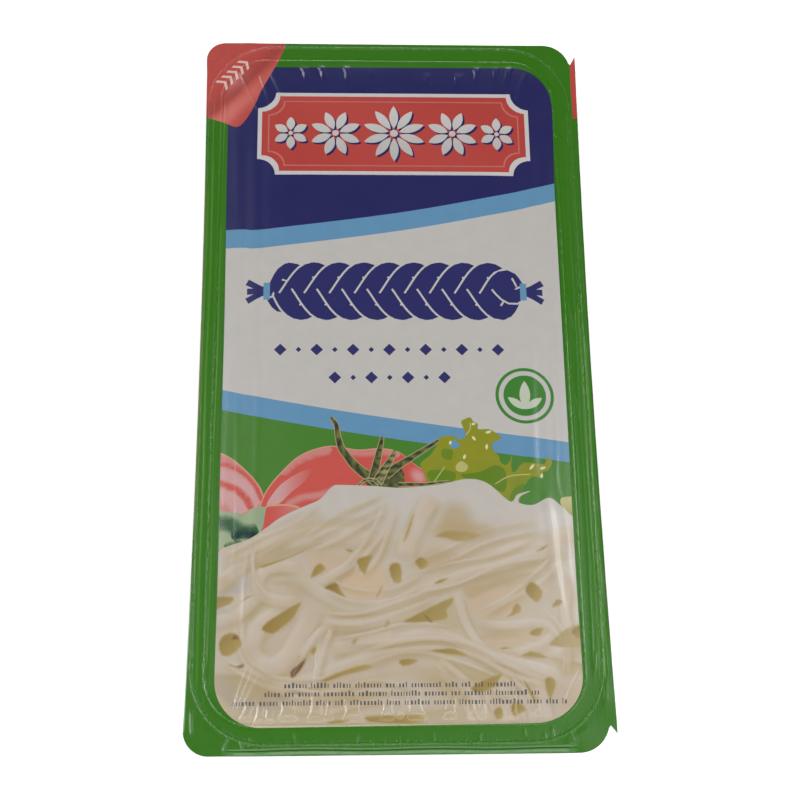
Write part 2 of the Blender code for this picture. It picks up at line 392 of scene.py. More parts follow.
def lip_share(x):
    """1 where the bottom flange has its crease and lip, between the corners."""
    return 1.0 - smoothstep((np.abs(x) - LIP_HALF_X) / LIP_FADE)


def flange_height(x, y, outside):
    """Relief of the sealed flange: a ridge at each edge of the seal, streaks, crease, lip, corner folds."""
    beyond = rounded_distance(x, y, SEAL)
    relief = SEAL_RIDGE[0] * np.exp(-(beyond / SEAL_RIDGE[1]) ** 2)
    relief += LAND_RIDGE[0] * np.exp(-((outside - LAND_AT) / LAND_RIDGE[1]) ** 2)
    beside = smoothstep((88.0 - np.abs(y)) / 8.0)
    for streak in FLANGE_STREAKS:
        strength = 0.7 + 0.3 * np.sin(y / 17.0 + 2.0 * streak[0])
        relief += streak[2] * strength * beside * np.exp(-((x - streak_place(streak, y)) / streak[3]) ** 2)
    between = lip_share(x)
    below = CREASE_Y - y + 0.12 * np.sin(x / 5.0)
    relief -= CREASE_DEEP * between * np.exp(-(below / CREASE_WIDE) ** 2)
    relief -= LIP_DROP * between * smoothstep(below / LIP_RUN)
    for fold in CORNER_FOLDS:
        relief += crease_height(x, y, fold)
    corner = smoothstep((beyond - 0.3) / 2.0) * smoothstep((np.abs(x) - 36.0) / 8.0)
    relief += corner * (0.12 + 0.08 * np.sin(0.42 * x + 0.3 * y))
    return relief


def crinkle(x, y):
    """How strongly the film is crazed, from 0 to 1: most along the seal's two edges."""
    beyond = rounded_distance(x, y, SEAL)
    outside = rounded_distance(x, y, RIM)
    share = 0.05 + 0.55 * np.exp(-((beyond + 0.1) / 0.6) ** 2) + 0.35 * np.exp(-((outside - 0.3) / 0.5) ** 2)
    return np.clip(share + 0.08 * smoothstep((outside - 2.0) / 1.5), 0.0, 1.0)


def haze(x, y):
    """Where the sealed film is duller, from 0 over the cavity to 1 on the flange."""
    return smoothstep((rounded_distance(x, y, RIM) - 0.5) / 1.5)


def film_height(x, y):
    """Top of the film above the surface that the pack lies on."""
    outside = rounded_distance(x, y, RIM)
    inward = 0.5 * (np.sqrt(outside ** 2 + RIM_SOFTNESS ** 2) - outside)
    height = FLANGE_TOP + CROWN * (1.0 - (1.0 - np.minimum(inward / CROWN_RUN, 1.0)) ** CROWN_POWER)
    inside = smoothstep(-outside / 4.0)
    for crease in LONG_CREASES:
        height = height + inside * crease_height(x, y, crease)
    ripple = smoothstep((np.abs(x) - 32.0) / 8.0) * smoothstep((88.0 - np.abs(y)) / 30.0)
    height += 0.05 * inside * ripple * np.cos(1.25 * np.abs(x) + 0.5 * np.sin(y / 23.0))
    height += 0.05 * inside * (np.sin(x / 7.0 + 0.5 * np.sin(y / 19.0)) * np.sin(y / 26.0 + 1.0))
    height += pleat_height(x, y)
    return height + flange_height(x, y, outside)


def plain_height(x, y):
    """The film without its small folds, for what lies under it."""
    outside = rounded_distance(x, y, RIM)
    inward = np.minimum(np.maximum(-outside, 0.0) / CROWN_RUN, 1.0)
    lip = LIP_DROP * lip_share(x) * smoothstep((CREASE_Y - y) / LIP_RUN)
    return FLANGE_TOP + CROWN * (1.0 - (1.0 - inward) ** CROWN_POWER) - lip


# Colours of the print as they look in this scene's light, as sRGB from 0 to 255.  A level seen is the albedo
# times LIGHT_GAIN plus GLOSS_LIFT, on the linear scale.

LIGHT_GAIN = 1.50
GLOSS_LIFT = 0.008
LEAST_ALBEDO = 0.001

GREEN = (53, 111, 19)
FIELD_GREEN = (71, 121, 48)
NAVY = (43, 44, 90)
BLUE = (96, 140, 173)
OFF_WHITE = (184, 181, 177)
RED = (172, 68, 62)
TAB_RED = (177, 75, 69)
TAB_LIGHT = (203, 116, 107)
TAB_DARK = (152, 66, 60)
TOMATO = (190, 84, 76)
TOMATO_LIGHT = (194, 150, 148)
TOMATO_PINK = (192, 126, 122)
TOMATO_EDGE = (194, 146, 118)
STEM = (112, 112, 62)
STEM_DARK = (50, 56, 46)
STEM_EDGE = (156, 148, 108)
STEM_LIGHT = (150, 146, 98)
LETTUCE = (134, 136, 40)
LETTUCE_DARK = (88, 122, 34)
LETTUCE_LIGHT = (184, 180, 122)
CHEESE = (184, 173, 157)
CHEESE_TOP = (185, 179, 171)
CHEESE_COOL = (188, 176, 162)
CHEESE_WARM = (186, 166, 140)
CHEESE_OLIVE = (171, 152, 117)
CHEESE_BASE = (182, 166, 145)
SHADE = (158, 138, 97)
GAP = (142, 120, 62)
GAP_PALE = (168, 148, 96)
GAP_DARK = (108, 78, 54)
CHEESE_LIT = (196, 186, 173)
MARK_GREEN = (63, 122, 52)
FINE_GREY = (96, 92, 90)
CUT_EDGE = (150, 176, 140)
# Dark tone of the film's cut edges and back: painted shade along the cut edge
FILM_EDGE_SHADE = (84, 92, 60)


def painted(colours, x, alpha=1.0):
    """A row of red, green, blue and opacity for each x, from 0 to 255."""
    colours = np.broadcast_to(np.array(colours, float), (len(x), 3))
    return np.column_stack([colours, np.broadcast_to(255.0 * alpha, len(x))])


def blend(first, second, share):
    """From the first colour at a share of 0 to the second at 1, for each point."""
    return np.array(first) + share[:, None] * (np.array(second) - np.array(first))


def flat(colour, alpha=1.0):
    return lambda x, y: painted(colour, x, alpha)


def mix(first, second, share):
    """From the first colour to the second, where share is a function of x and y."""
    return lambda x, y: painted(blend(first, second, np.clip(share(x, y), 0.0, 1.0)), x)


class Print:
    """Shapes painted one over another, each within the shape that it names, or None for the whole pack."""

    def __init__(self):
        self.shapes = []
        self.middles = []            # middle lines of the fine threads, for the film's mesh

    def add(self, outline, paint, name=None, within="panel"):
        self.shapes.append({"outline": outline, "paint": paint, "name": name, "within": within})


PICTURE_LIGHT = (-0.42, 0.91)        # where the printed picture's light comes from


def nearest_on_line(x, y, line):
    """For each point: how far along the line the nearest place is, from 0 to 1, how far to the line's left
    the point lies, and how far towards the picture's light.
    """
    line = np.array(line)
    runs = line[1:] - line[:-1]
    lengths = np.hypot(runs[:, 0], runs[:, 1])
    starts = np.concatenate([[0.0], np.cumsum(lengths)[:-1]])
    best = np.full(len(x), 1e9)
    along = np.zeros(len(x))
    aside = np.zeros(len(x))
    lit = np.zeros(len(x))
    for point, run, length, start in zip(line[:-1], runs, lengths, starts):
        dx, dy = x - point[0], y - point[1]
        t = np.clip((dx * run[0] + dy * run[1]) / length ** 2, 0.0, 1.0)
        off_x, off_y = dx - t * run[0], dy - t * run[1]
        off = np.hypot(off_x, off_y)
        closer = off < best
        side = np.sign(run[0] * dy - run[1] * dx)
        best = np.where(closer, off, best)
        along = np.where(closer, (start + t * length) / lengths.sum(), along)
        aside = np.where(closer, off * side, aside)
        lit = np.where(closer, off_x * PICTURE_LIGHT[0] + off_y * PICTURE_LIGHT[1], lit)
    return along, aside, lit


def left_normals(line):
    """Unit normals to the left of a line, one for each of its points."""
    runs = np.gradient(line, axis=0)
    runs /= np.hypot(runs[:, 0], runs[:, 1])[:, None]
    return np.stack([-runs[:, 1], runs[:, 0]], 1)


def ribbon(line, half_widths):
    """Outline of a band along a line, with its half width at each point."""
    line = np.array(line)
    aside = left_normals(line) * np.array(half_widths)[:, None]
    return [tuple(p) for p in line + aside] + [tuple(p) for p in (line - aside)[::-1]]


def tapered(count, half_width, tip=0.12):
    """Half widths that round off at both ends."""
    t = np.linspace(0.0, 1.0, count)
    return half_width * np.maximum(np.minimum(1.0, np.sqrt(np.minimum(t, 1.0 - t) / tip + 0.004)), 0.05)


def leaf(centre, length, width, angle, steps=8):
    """A pointed leaf."""
    t = np.linspace(0.0, 1.0, steps + 1)
    upper = np.stack([(t - 0.5) * length, 0.5 * width * np.sin(np.pi * t) ** 0.8], 1)
    outline = np.vstack([upper, (upper * [1, -1])[-2:0:-1]])
    turn = np.array([[math.cos(angle), math.sin(angle)], [-math.sin(angle), math.cos(angle)]])
    return [tuple(p) for p in outline @ turn + np.array(centre)]


def disc(centre, radius, steps=40):
    return arc(centre, radius, 0, 360, steps)[:-1]


def soft_band(art, points, half, colour, within, soft=0.7, strength=1.0, steps=6):
    """A band along a curve that fades out over its edges."""
    line = smooth_line(points, steps)
    reach = half + soft

    def paint(x, y):
        _, aside, _ = nearest_on_line(x, y, line)
        return painted(colour, x, strength * smoothstep((reach - np.abs(aside)) / (2 * soft)))

    art.add(ribbon(line, tapered(len(line), reach, 0.08)), paint, within=within)


def soft_spot(art, centre, reach, turn, colour, within, strength):
    """A blurred patch of colour, turned, with its reach along and across."""
    cosine, sine = math.cos(turn), math.sin(turn)
    outline = []
    for x, y in disc((0.0, 0.0), 1.5, 28):
        outline.append((centre[0] + x * reach[0] * cosine - y * reach[1] * sine,
                        centre[1] + x * reach[0] * sine + y * reach[1] * cosine))

    def paint(x, y):
        dx, dy = x - centre[0], y - centre[1]
        along = (dx * cosine + dy * sine) / reach[0]
        across = (dy * cosine - dx * sine) / reach[1]
        return painted(colour, x, strength * smoothstep((1.5 - np.hypot(along, across)) / 1.1))

    art.add(outline, paint, within=within)


# Fields of the print: the upper edges of the two blue bands, the bands' width, and a place beyond the pack
UPPER_EDGE = ((-50, 41.9), (-43, 41.8), (-35, 41.8), (1.6, 46.9), (30, 52.6), (40, 55.3), (50, 58.5))
LOWER_EDGE = ((-50, -5.8), (-40, -8.4), (-22, -11.9), (0.7, -15.6), (24, -19), (38, -20.7), (50, -21.9))
BAND = 5.75
PACK_FAR = 120.0


def edge_curve(places, shift=0.0):
    return smooth_line([(x, y + shift) for x, y in places])


def add_fields(art):
    art.add(panel_outline(), flat(NAVY), name="panel", within=None)
    art.add(edge_curve(UPPER_EDGE) + edge_curve(LOWER_EDGE)[::-1], flat(OFF_WHITE))
    for places in (UPPER_EDGE, LOWER_EDGE):
        art.add(edge_curve(places) + edge_curve(places, -BAND)[::-1], flat(BLUE))
    bottom = [(50.0, -PACK_FAR), (-50.0, -PACK_FAR)]
    art.add(edge_curve(LOWER_EDGE, -BAND) + bottom, flat(FIELD_GREEN))


# Painted highlights and painted shade along the flange: the lighter lines paint the sheen on its ridges, and
# the darker ones paint shade beside them and along the panel's edges.  x at the top and the bottom, where it
# starts and ends in y, half width, colour and strength
FLANGE_HIGHLIGHTS_AND_SHADE = (
    (-53.3, -53.4, 56.0, -60.0, 0.20, (108, 140, 70), 0.45),
    (-51.9, -52.0, 66.0, -88.0, 0.18, (98, 150, 66), 0.50),
    (-50.8, -50.8, 60.0, -84.0, 0.50, (52, 110, 24), 0.40),
    (-49.1, -49.4, 44.0, -82.0, 0.22, (102, 142, 70), 0.45),
    (-48.0, -48.0, 60.0, -70.0, 0.22, (36, 84, 30), 0.55),
    (46.8, 46.8, 70.0, -86.0, 0.20, (34, 82, 26), 0.55),
    (47.4, 47.6, 4.0, -76.0, 0.20, (110, 154, 84), 0.35),
    (51.2, 51.3, 20.0, -86.0, 0.18, (112, 158, 84), 0.45),
    (52.6, 52.8, 10.0, -86.0, 0.22, (118, 162, 90), 0.50),
)
# Toned edges of the two long sides, the dark one on the right being painted shade along the cut edge: side,
# start and end in y, width and colour
SIDE_EDGES = ((-1, 70.0, -56.0, 0.36, (120, 118, 82)), (1, 76.0, -84.0, 0.26, (46, 76, 40)))


def add_flange_highlights_and_shade(art):
    # Lines of lighter green are painted highlights, and lines of darker green are painted shade
    for x_top, x_bottom, start, end, half, colour, strength in FLANGE_HIGHLIGHTS_AND_SHADE:
        line = []
        for y in np.linspace(start, end, 24):
            x = x_bottom + (x_top - x_bottom) * (y + 100.0) / 200.0 + 0.12 * math.sin(y / 9.0 + x_top)
            line.append((x, y))
        soft_band(art, line, half, colour, None, 0.22, strength, steps=2)
    # Strips along the long sides: the dark one on the right is painted shade along the cut edge
    for sign, start, end, wide, colour in SIDE_EDGES:
        side = bowed_side(sign, start, end, 29)
        inner = [(x - sign * wide * smoothstep(min(start - y, y - end) / 20.0), y) for x, y in side]
        art.add([(x + sign, y) for x, y in side] + inner[::-1], flat(colour, 0.8), within=None)
    # Painted shade in the bottom flange's crease: a thin dark green line along it
    crease = [(x, CREASE_Y - 0.15 + 0.12 * math.sin(x / 5.0)) for x in np.linspace(-39.0, 43.0, 40)]
    soft_band(art, crease, 0.12, (34, 80, 18), None, 0.2, 0.8, steps=2)


def add_edges(art):
    """The strip of the neighbouring print on the right, and the pale cut edge at the lower left."""
    strip = [(53.3, 101.5), (53.1, 88.2), (53.2, 79.0), (57.0, 79.0), (57.0, 101.5)]
    art.add(strip, mix(TAB_RED, RED, lambda x, y: (100.0 - y) / 21.0), within=None)
    add_flange_highlights_and_shade(art)
    side = bowed_side(-1, -52.0, -98.0, 23)
    inner = [(x + 0.26 * smoothstep((y + 52.0) / -16.0), y) for x, y in side]
    art.add([(x - 1.0, y) for x, y in side] + inner[::-1], flat(CUT_EDGE), within=None)


def add_peel_corner(art):
    """The red corner where the pack opens, drawn as if it were turned back along a diagonal fold."""
    edge = smooth_line([(-31.2, 104.5), (-34.5, 96.1), (-38.5, 87.2), (-40.0, 83.1), (-42.7, 77.7),
                        (-45.5, 75.1), (-49.9, 77.0), (-56.5, 79.2)], steps=6)
    fold = smooth_line([(-54.5, 78.0), (-49.2, 83.0), (-44.9, 87.1), (-38.6, 94.7), (-31.2, 104.0)], steps=4)

    def shade(x, y):
        along, beyond, _ = nearest_on_line(x, y, fold)
        dark = smoothstep((beyond + 0.2) / 0.4) * np.exp(-(np.maximum(beyond, 0.0) / 3.4) ** 2)
        curl = -beyond
        light = smoothstep(curl / 0.3) * np.exp(-((curl - 3.2) / 2.6) ** 2)
        light *= 1.0 - 0.7 * smoothstep(along / 0.9)
        crease = smoothstep(curl / 0.2) * np.exp(-(curl / 0.9) ** 2)
        colours = TAB_RED
        for share, colour in ((0.8 * dark, TAB_DARK), (light, TAB_LIGHT), (0.5 * crease, TAB_DARK)):
            colours = blend(colours, colour, share)
        return painted(colours, x)

    art.add(edge + [(-62.0, 79.5), (-62.0, 112.0), (-31.2, 112.0)], shade, name="peel_corner",
            within=None)
    art.add(fold + [(-36.0, 106.0), (-60.0, 106.0), (-60.0, 78.0)], shade, within="peel_corner")
    along = np.array([0.667, 0.744])
    out = np.array([-along[1], along[0]])
    for step in range(5):
        tip = np.array([-46.6, 93.6]) + along * (step - 1.6) * 2.3
        arms = [tip - along * 1.5 + out * 2.1, tip, tip - along * 1.5 - out * 2.1]
        inner = [point - along * 0.95 for point in arms]
        art.add([tuple(p) for p in arms + inner[::-1]], flat((214, 178, 170)), within="peel_corner")


# Ornaments that stand where the pack has words and marks

def ticket(centre, half_x, half_y, notch, steps=8):
    """A plaque with hollow round corners."""
    points = []
    for sign_x, sign_y, start in ((1, -1, 180), (1, 1, 270), (-1, 1, 360), (-1, -1, 90)):
        corner = (centre[0] + sign_x * half_x, centre[1] + sign_y * half_y)
        points += arc(corner, notch, start, start - 90, steps)
    return points


def add_plaque(art):
    """A red plaque with a pale rim and a row of rosettes, each over its own offset shade."""
    centre = (0.2, 72.6)
    art.add(ticket(centre, 39.6, 13.6, 5.2), flat((194, 190, 190)), name="plaque_rim")
    warm = mix(RED, (177, 73, 67), lambda x, y: 0.5 + 0.5 * np.sin(x / 13.0 + y / 9.0))
    art.add(ticket(centre, 38.4, 12.4, 5.2), warm, name="plaque", within="plaque_rim")
    art.add(ticket(centre, 36.6, 10.8, 4.6), flat((188, 106, 100)), within="plaque")
    art.add(ticket(centre, 36.2, 10.4, 4.6), warm, within="plaque")
    petals = []
    for x, reach, count in ((0.0, 9.0, 10), (-17.0, 7.4, 8), (17.0, 7.4, 8), (-30.0, 5.2, 6), (30.0, 5.2, 6)):
        for index in range(count):
            angle = 2 * math.pi * (index + 0.5) / count
            middle = (centre[0] + x + 0.6 * reach * math.cos(angle),
                      centre[1] + 0.6 * reach * math.sin(angle))
            petals.append(leaf(middle, 0.84 * reach, 2.9 * reach / count, angle))
        petals.append(disc((centre[0] + x, centre[1]), 0.13 * reach, 16))
    for outline in petals:
        art.add([(x + 0.55, y - 0.6) for x, y in outline], flat(NAVY), within="plaque")
    for outline in petals:
        art.add(outline, mix((196, 193, 190), (178, 174, 172), lambda x, y: (80.0 - y) / 15.0),
                within="plaque")


def add_plait(art):
    """A long plait of three navy strands, with a pale line along the upper strand at each crossing."""
    middle, reach, swing, period, half, casing = 22.4, 36.0, 5.6, 21.0, 3.2, 0.55
    ink = flat((48, 48, 98))

    def strand(phase, start, end, spare):
        xs = np.linspace(start, end, max(4, int((end - start) / 0.8)))
        envelope = smoothstep((reach - np.abs(xs)) / 7.0) ** 0.7
        ys = middle + swing * envelope * np.sin(2 * math.pi * xs / period + phase)
        return ribbon(np.stack([xs, ys], 1), half * (0.45 + 0.55 * envelope) + spare)

    phases = [2 * math.pi * index / 3 for index in range(3)]
    for phase in phases:
        art.add(strand(phase, -reach, reach, 0.0), ink)
    crossings = []
    for first, second in ((0, 1), (1, 2), (0, 2)):
        for turn in range(-8, 9):
            angle = math.pi / 2 - (phases[first] + phases[second]) / 2 + turn * math.pi
            x = angle * period / (2 * math.pi)
            if abs(x) < reach - 2.0:
                first_over = math.sin(2 * (angle + phases[first])) > 0
                crossings.append((x, phases[first if first_over else second]))
    for x, phase in sorted(crossings):
        art.add(strand(phase, x - 3.3, x + 3.3, casing), flat(OFF_WHITE))
        art.add(strand(phase, x - 4.4, x + 4.4, 0.0), ink)
    for side in (-1, 1):
        for spread in (-1, 0, 1):
            line = smooth_line([(side * (reach - 0.6), middle), (side * (reach + 2.4), middle + 1.2 * spread),
                                (side * (reach + 5.4), middle + 2.9 * spread)])
            art.add(ribbon(line, np.linspace(0.7, 0.95, len(line))), ink)
        knot = [(side * (reach - 1.0), middle - 2.6), (side * (reach + 0.8), middle - 2.6),
                (side * (reach + 0.8), middle + 2.6), (side * (reach - 1.0), middle + 2.6)]
        art.add(knot, flat(BLUE))


def add_lozenge_rows(art):
    """Two rows of lozenges, a large one and a small one in turn."""
    middle_x, spacing, size = -1.9, 5.0, 1.75
    for middle_y, count in ((4.8, 13), (-3.4, 7)):
        for index in range(count):
            x = middle_x + (index - (count - 1) / 2) * spacing
            big = size * (1.0 if index % 2 == 0 else 0.45)
            outline = [(x + big, middle_y), (x, middle_y + big), (x - big, middle_y), (x, middle_y - big)]
            art.add(outline, flat((52, 52, 100)))


def add_round_mark(art):
    """A green disc with a pale ring and three pale leaves."""
    centre = (35.0, -8.6)
    art.add(disc(centre, 8.1), flat(MARK_GREEN))
    art.add(disc(centre, 7.2), flat(OFF_WHITE))
    art.add(disc(centre, 5.9), flat(MARK_GREEN))
    for angle, size in ((math.pi / 2, 8.2), (math.pi / 2 + 0.95, 5.8), (math.pi / 2 - 0.95, 5.8)):
        root = np.array([centre[0], centre[1] - 3.9])
        middle = root + 0.5 * size * np.array([math.cos(angle), math.sin(angle)])
        art.add(leaf(middle, size, 0.36 * size, angle), flat((184, 190, 172)))


# Fine rows at the foot: y, left and right end
FINE_ROWS = ((-86.9, -29.6, 29.4), (-89.0, -34.6, 35.2), (-91.2, -42.6, 42.6))


def add_fine_rows(art):
    """Rows of fine ticks in groups at the foot of the panel."""
    draw = random.Random(5)
    for y, left, right in FINE_ROWS:
        x = left
        while x < right - 0.6:
            for _ in range(draw.randrange(3, 11)):
                end = min(x + draw.uniform(0.22, 0.6), right)
                high = 0.85 if draw.random() < 0.25 else 0.50
                if end > x + 0.2:
                    art.add([(x, y - 0.5), (end, y - 0.5), (end, y + high), (x, y + high)], flat(FINE_GREY))
                x = end + 0.42
            x += 0.8


# The printed picture: vegetables behind a heap of pulled cheese

HEAP_TOP = [(-50, -53.6), (-45.7, -50.6), (-39.5, -48.6), (-35.2, -45.8), (-30.9, -42.7), (-24.9, -39.8),
            (-20.8, -37.9), (-17.5, -34.4), (-14.8, -34), (-6.3, -34.3), (1.2, -34.8), (11.1, -33.9),
            (18.3, -32.4), (23.7, -33.5), (29, -38.2), (30.6, -38.4), (31.8, -36.7), (35.4, -35.7),
            (32.6, -37.2), (32.2, -39), (36, -39.5), (40.3, -37.5), (43.6, -39.7), (46.5, -42.4), (50, -44)]


def add_stem(art, points, half_width, light=STEM):
    """A stalk: pale edges, then a mottle of light and dark green along it."""
    line = smooth_line(points, steps=6)
    widths = np.linspace(half_width * 0.3, half_width, len(line))
    art.add(ribbon(line, widths + 0.22), flat(STEM_EDGE))

    def paint(x, y):
        along, aside, _ = nearest_on_line(x, y, line)
        mottle = 0.5 * np.sin(along * 31.0 + 2.0 * aside) + 0.35 * np.sin(7.0 * aside + along * 12)
        return painted(blend(STEM_DARK, light, smoothstep(0.46 + 0.42 * aside / half_width + mottle)), x)

    art.add(ribbon(line, widths), paint)


def add_tomatoes(art):
    left = [(-50, -23.6), (-47.1, -24.6), (-43.5, -26.9), (-38.8, -31.5), (-35.9, -36.1), (-35.6, -42),
            (-38, -50), (-50, -54)]
    art.add(smooth_line(left, steps=5), flat(TOMATO_EDGE), name="left_tomato")
    art.add([(x - 0.25, y - 0.3) for x, y in smooth_line(left, steps=5)], flat(TOMATO_PINK),
            within="left_tomato")
    soft_band(art, [(-50, -35), (-44, -36), (-40, -41)], 3.4, TOMATO_LIGHT, "left_tomato", 1)
    soft_band(art, [(-50, -29.6), (-44.4, -31.4), (-40.4, -34.6), (-37.6, -40)], 1.6, TOMATO_LIGHT,
              "left_tomato", 0.6)
    soft_band(art, [(-50, -27.4), (-46.9, -27.7), (-43.6, -28.8), (-40.5, -31.1), (-37.8, -34.5),
                    (-36, -38.5)], 0.55, TOMATO, "left_tomato", 0.3)
    soft_band(art, [(-50, -32.4), (-46.7, -33.4), (-43.2, -34.9), (-40.4, -37.4), (-38.8, -40.6)], 0.95,
              TOMATO, "left_tomato", 0.4)
    art.add([(-50, -46.8), (-47, -47.4), (-45.4, -49), (-46.6, -52.6), (-50, -54)], flat(TOMATO))

    right = [(-36.8, -46.4), (-36.6, -39.6), (-34.4, -34.3), (-29.7, -28.7), (-26.4, -25.8), (-22.3, -23.9),
             (-17.4, -23), (-10.7, -24.1), (-4.8, -23.7), (0.2, -24.7), (4.3, -28.1), (10.4, -33.4), (6, -42),
             (-20, -46)]
    curve = blob(right, 5)
    art.add(curve, flat(TOMATO_EDGE), name="right_tomato")
    art.add([(x + 0.2, y - 0.32) for x, y in curve], flat(TOMATO), name="tomato_skin", within="right_tomato")
    soft_band(art, [(-31.2, -31), (-27.6, -27.6), (-22.6, -25.3), (-17.6, -24)], 1.15, TOMATO_PINK,
              "tomato_skin", 0.5)
    soft_band(art, [(-15, -24.2), (-9.6, -25.2), (-4, -24.6), (0.6, -25.8)], 0.9, TOMATO_PINK, "tomato_skin",
              0.6)
    patch = [(-34.9, -39.4), (-32.3, -35), (-29.7, -32.6), (-26.3, -30.5), (-23.1, -29.6), (-24.9, -33),
             (-28.3, -35.8), (-31.6, -39)]
    art.add(blob(patch), mix(TOMATO_LIGHT, TOMATO, lambda x, y: (x + 31.5) / 9.5), within="tomato_skin")
    soft_band(art, [(-30, -39.6), (-25.4, -37.4), (-20.4, -36.6), (-15, -34.4)], 0.9, TOMATO_PINK,
              "tomato_skin", 0.6)
    soft_spot(art, (5.4, -31.6), (2.2, 1.6), -0.7, TOMATO_LIGHT, "tomato_skin", 0.9)
    lobe = [(-35.3, -39.9), (-32.3, -39.2), (-28.9, -39.3), (-26, -40.2), (-28, -42.4), (-33, -46),
            (-36.8, -47), (-36.2, -44)]
    art.add(blob(lobe), flat(TOMATO_EDGE), name="lobe")
    skin = mix(TOMATO, TOMATO_PINK, lambda x, y: (x + 33) / 7)
    art.add([(x, y - 0.5) for x, y in blob(lobe)], skin, within="lobe")


def add_lettuce(art):
    frill = [(6.1, -27.9), (8.5, -25.9), (10.3, -23.4), (11.4, -20.7), (14.8, -20.3), (16.2, -21.1),
             (17.6, -21.1), (18.5, -20), (17.3, -16.5), (18, -15.6), (19.8, -15), (20.6, -16.2),
             (21.8, -16.9), (21.9, -18.4), (24.9, -18.4), (28.1, -20.8), (25.6, -22.3), (25.7, -24.2),
             (27.2, -26), (27.4, -27.3), (28.7, -28.5), (30.1, -27.4), (30.9, -25.1), (30.4, -28.8),
             (31.2, -30.6), (33.9, -27.8), (39.3, -28.1), (40.2, -26), (41.6, -27.4), (40.3, -29.9),
             (38.9, -30.3), (38.8, -32.1), (36.1, -31.7), (33.6, -34.6), (31, -40), (22, -40), (10, -36),
             (6.8, -30.4)]
    lettuce = blob(frill, 3)

    def leaf_paint(x, y):
        vein = 0.5 + 0.5 * np.sin(x * 0.55 + 1.3 * np.sin(y * 0.4)) * np.sin(y * 0.6 + 0.8 * np.sin(x * 0.3))
        return painted(blend(LETTUCE, LETTUCE_DARK, 0.45 * smoothstep((-25.0 - y) / 10) * vein), x)

    art.add(lettuce, leaf_paint, name="lettuce")
    art.add(blob([(14.1, -23), (15.1, -21.4), (16.8, -23.1), (14.8, -23.9)], 3), flat(BLUE))
    for shape, strength in (
            ([(16.8, -31.4), (22, -30.4), (26.2, -28.6), (28.8, -30.4), (28.2, -36), (22, -33.6)], 0.9),
            ([(12.1, -24), (14.7, -24.4), (14.3, -27), (11.9, -26.3)], 0.7),
            ([(7.7, -30.6), (10.8, -29.8), (15.2, -30.6), (14.5, -33.2), (9.6, -33.6)], 0.8),
            ([(34, -34), (31.1, -35), (29.6, -38.4), (32, -38.6)], 0.9)):
        art.add(blob(shape), flat(LETTUCE_DARK, strength), within="lettuce")
    art.add(blob([(15.5, -28.8), (17, -27.4), (18.8, -28.8), (17.9, -30.3), (15.9, -30.2)]),
            flat(LETTUCE_LIGHT, 0.8), within="lettuce")
    for x, y, long, angle in ((17.9, -26.2, 1.5, 1.3), (24, -23.4, 1.7, 1.5), (20.6, -21, 1.6, -0.9),
                              (24.6, -19.2, 1.8, 0.3), (20.6, -16.9, 1.1, 0.2), (36, -29, 2.2, 0.9),
                              (39, -29.2, 1.8, 0.4), (38.6, -31.4, 1.6, 1.2), (14.2, -22.2, 1.2, 1.2)):
        art.add(leaf((x, y), long, 0.75, angle), flat((206, 204, 160)), within="lettuce")
    for line in (((9, -34), (11.4, -30.6), (12.6, -28.8)), ((18.4, -20.2), (19.6, -18.4), (19.8, -16.4)),
                 ((25.6, -34), (30, -31.6), (36, -31))):
        vein = smooth_line(line)
        art.add(ribbon(vein, tapered(len(vein), 0.16)), flat(LETTUCE_LIGHT, 0.8), within="lettuce")


def add_vegetables(art):
    """The pod at the left, the tomato's stalk and a scrap of leaf at the right."""
    pod = blob([(-50, -39.4), (-47, -40.4), (-41, -41.7), (-38.7, -40.3), (-35.3, -39.9), (-35.3, -42),
                (-36.2, -46.4), (-40, -50), (-46, -51.6), (-50, -48)], 5)
    art.add(pod, mix((150, 164, 132), (140, 158, 128), lambda x, y: 0.5 + 0.5 * np.sin(x)), name="pod")
    soft_band(art, [(-50, -44), (-45, -44.2), (-41.4, -46.4), (-36.8, -46.6)], 1.8, (58, 92, 62), "pod", 0.8)
    soft_band(art, [(-44, -48), (-40.6, -47), (-37, -48.4)], 1.1, (24, 52, 50), "pod", 0.6)
    soft_band(art, [(-46, -50.2), (-41, -49.4)], 0.6, (70, 100, 50), "pod", 0.4)
    base = blob([(-9, -31.4), (-5.9, -31.2), (-2.9, -28.8), (0.9, -29.5), (1.7, -33), (-0.5, -35.6),
                 (-7, -35.6)])
    art.add(base, mix(STEM, STEM_DARK, lambda x, y: 0.5 + 0.8 * np.sin(2.3 * x) * np.sin(2.9 * y)))
    for points, half, light in (
            (((13.5, -33.1), (10.4, -33.4), (7, -33.9), (3.6, -33.9), (0, -34)), 0.5, STEM),
            (((-17.9, -14.9), (-16.5, -17.2), (-16, -20.5), (-15.1, -23.7), (-13.1, -26.6), (-10.7, -29.4),
              (-6, -32.9)), 1.25, STEM),
            (((-4.1, -20.5), (-4.7, -23.4), (-5.5, -27), (-6.7, -32.4)), 1.15, STEM),
            (((11, -21.6), (7.2, -24.1), (3.3, -26.6), (-0.1, -28.8), (-3.4, -31.4)), 1.1, STEM),
            (((-0.6, -24.4), (-2.1, -27.3), (-3.9, -30.2), (-5.6, -33.4)), 1.35, STEM_LIGHT),
            (((-11.2, -34.6), (-8.7, -32.6), (-6.3, -32.7), (-4.6, -34.4)), 0.45, STEM_LIGHT)):
        add_stem(art, points, half, light)
    scrap = blob([(43.3, -37.9), (46.3, -36.9), (50, -37.6), (50, -43), (44.8, -41.9)])
    art.add(scrap, mix((176, 172, 118), (150, 150, 84), lambda x, y: (-38.5 - y) / 3.5))


